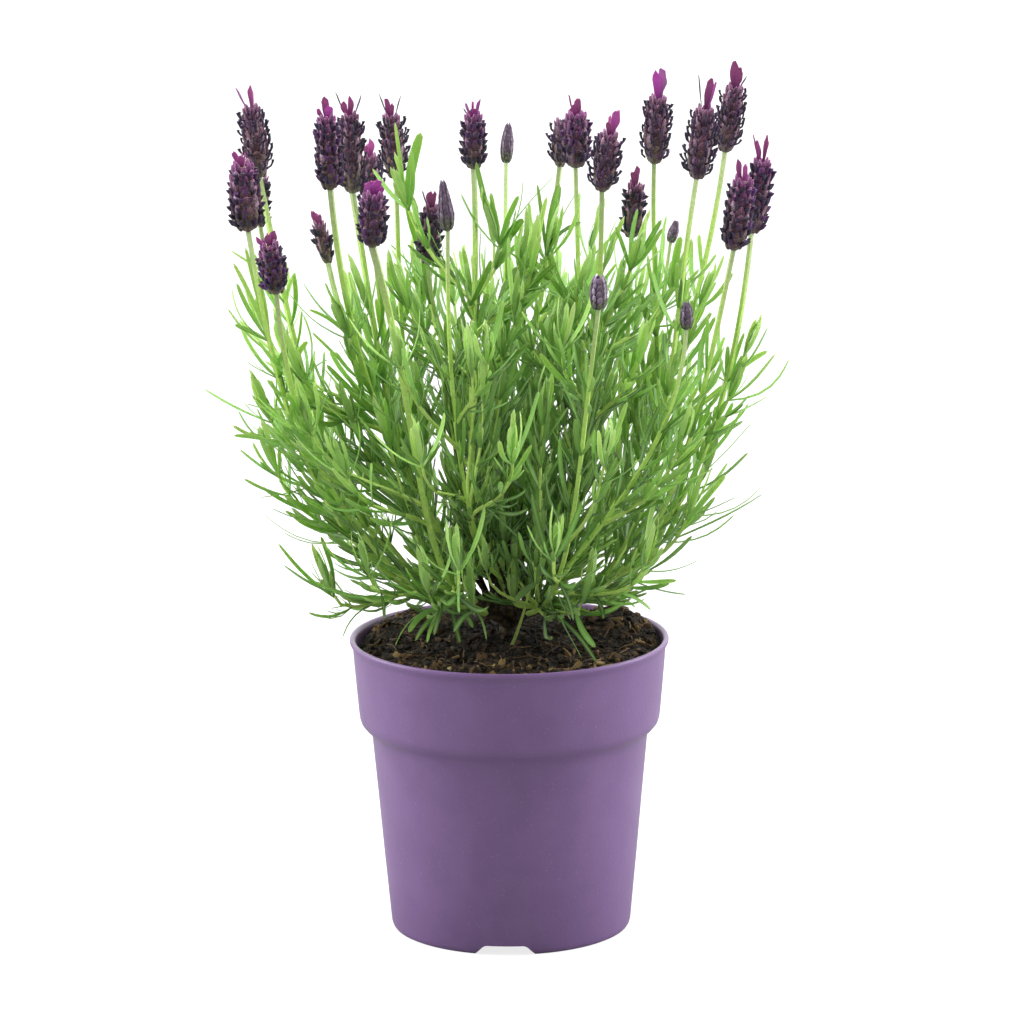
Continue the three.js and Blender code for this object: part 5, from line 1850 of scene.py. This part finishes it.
def studio_floor():
    """A white floor that the camera sees as glowing, so that it runs into the backdrop."""
    bm = bmesh.new()
    bmesh.ops.create_circle(bm, cap_ends=True, segments=96, radius=4.0)
    floor = placed("studio_floor", mesh_of("studio_floor", bm))
    glow = STUDIO["floor_glow"]
    finish = Finish("white studio floor", {
        "Roughness": 0.9, "Specular IOR Level": 0.1, "Emission Color": (glow, glow, glow, 1)
    })
    tint = finish.shares(finish.speckle(3.0), (0.0, 0.29), (1.0, 0.31))
    finish.links.new(tint, finish.shader.inputs["Base Color"])
    path = finish.nodes.new("ShaderNodeLightPath")
    finish.links.new(path.outputs["Is Camera Ray"], finish.shader.inputs["Emission Strength"])
    floor.data.materials.append(finish.material)


def standing(x_axis, y_axis, z_axis, at):
    """The place of an object from its three axes and its origin."""
    return Matrix([*zip(x_axis, y_axis, z_axis, at), (0, 0, 0, 1)])


def add_light(name, kind, at, toward, power, settings):
    """A light that shines from one point towards another."""
    data = bpy.data.lights.new(name, kind)
    data.energy = power
    for setting, value in settings.items():
        setattr(data, setting, value)
    back = unit(vec(*at) - vec(*toward))
    side = level_with(np.cross(UP, back))
    placed(name, data).matrix_world = standing(side, np.cross(back, side), back, at)


def white_surround():
    """A white studio all round, brightest at the sides, with the side that the camera stands on darker."""
    world = bpy.data.worlds.new("white surround")
    bpy.context.scene.world = world
    world.use_nodes = True
    nodes, links = world.node_tree.nodes, world.node_tree.links
    background = nodes["Background"]
    place = nodes.new("ShaderNodeTexCoord")
    parts = nodes.new("ShaderNodeSeparateXYZ")
    front = nodes.new("ShaderNodeMapRange")
    path = nodes.new("ShaderNodeLightPath")
    seen = nodes.new("ShaderNodeMix")
    front.interpolation_type = "SMOOTHSTEP"
    set_inputs(background, {"Color": (1, 1, 1, 1)})
    set_inputs(seen, {"B": STUDIO["backdrop"]})
    set_inputs(front, {
        "From Min": STUDIO["front_edge"],
        "From Max": STUDIO["side_edge"],
        "To Min": STUDIO["front"],
        "To Max": STUDIO["sides"],
    })
    links.new(place.outputs["Generated"], parts.inputs["Vector"])
    links.new(parts.outputs["Y"], front.inputs["Value"])
    links.new(path.outputs["Is Camera Ray"], seen.inputs["Factor"])
    links.new(front.outputs["Result"], seen.inputs["A"])
    links.new(seen.outputs["Result"], background.inputs["Strength"])


def studio():
    studio_floor()
    white_surround()
    for name, light in LIGHTS.items():
        add_light(name, *light)
    view = bpy.context.scene.view_settings
    view.view_transform = "Standard"
    view.look = "None"


def camera():
    data = bpy.data.cameras.new("camera")
    data.sensor_fit = "HORIZONTAL"
    data.angle = math.radians(CAMERA["view"])
    data.clip_start, data.clip_end = 0.05, 30.0
    eye = placed("camera", data)
    roll = math.radians(CAMERA["roll"])
    right = vec(1, 0, 0)
    up = vec(0, math.sin(PITCH), math.cos(PITCH))
    back = vec(0, -math.cos(PITCH), math.sin(PITCH))
    x_axis = right * math.cos(roll) - up * math.sin(roll)
    y_axis = right * math.sin(roll) + up * math.cos(roll)
    eye.matrix_world = standing(x_axis, y_axis, back, vec(*CAMERA["at"]) * MM)
    bpy.context.scene.camera = eye


main()
studio()
camera()
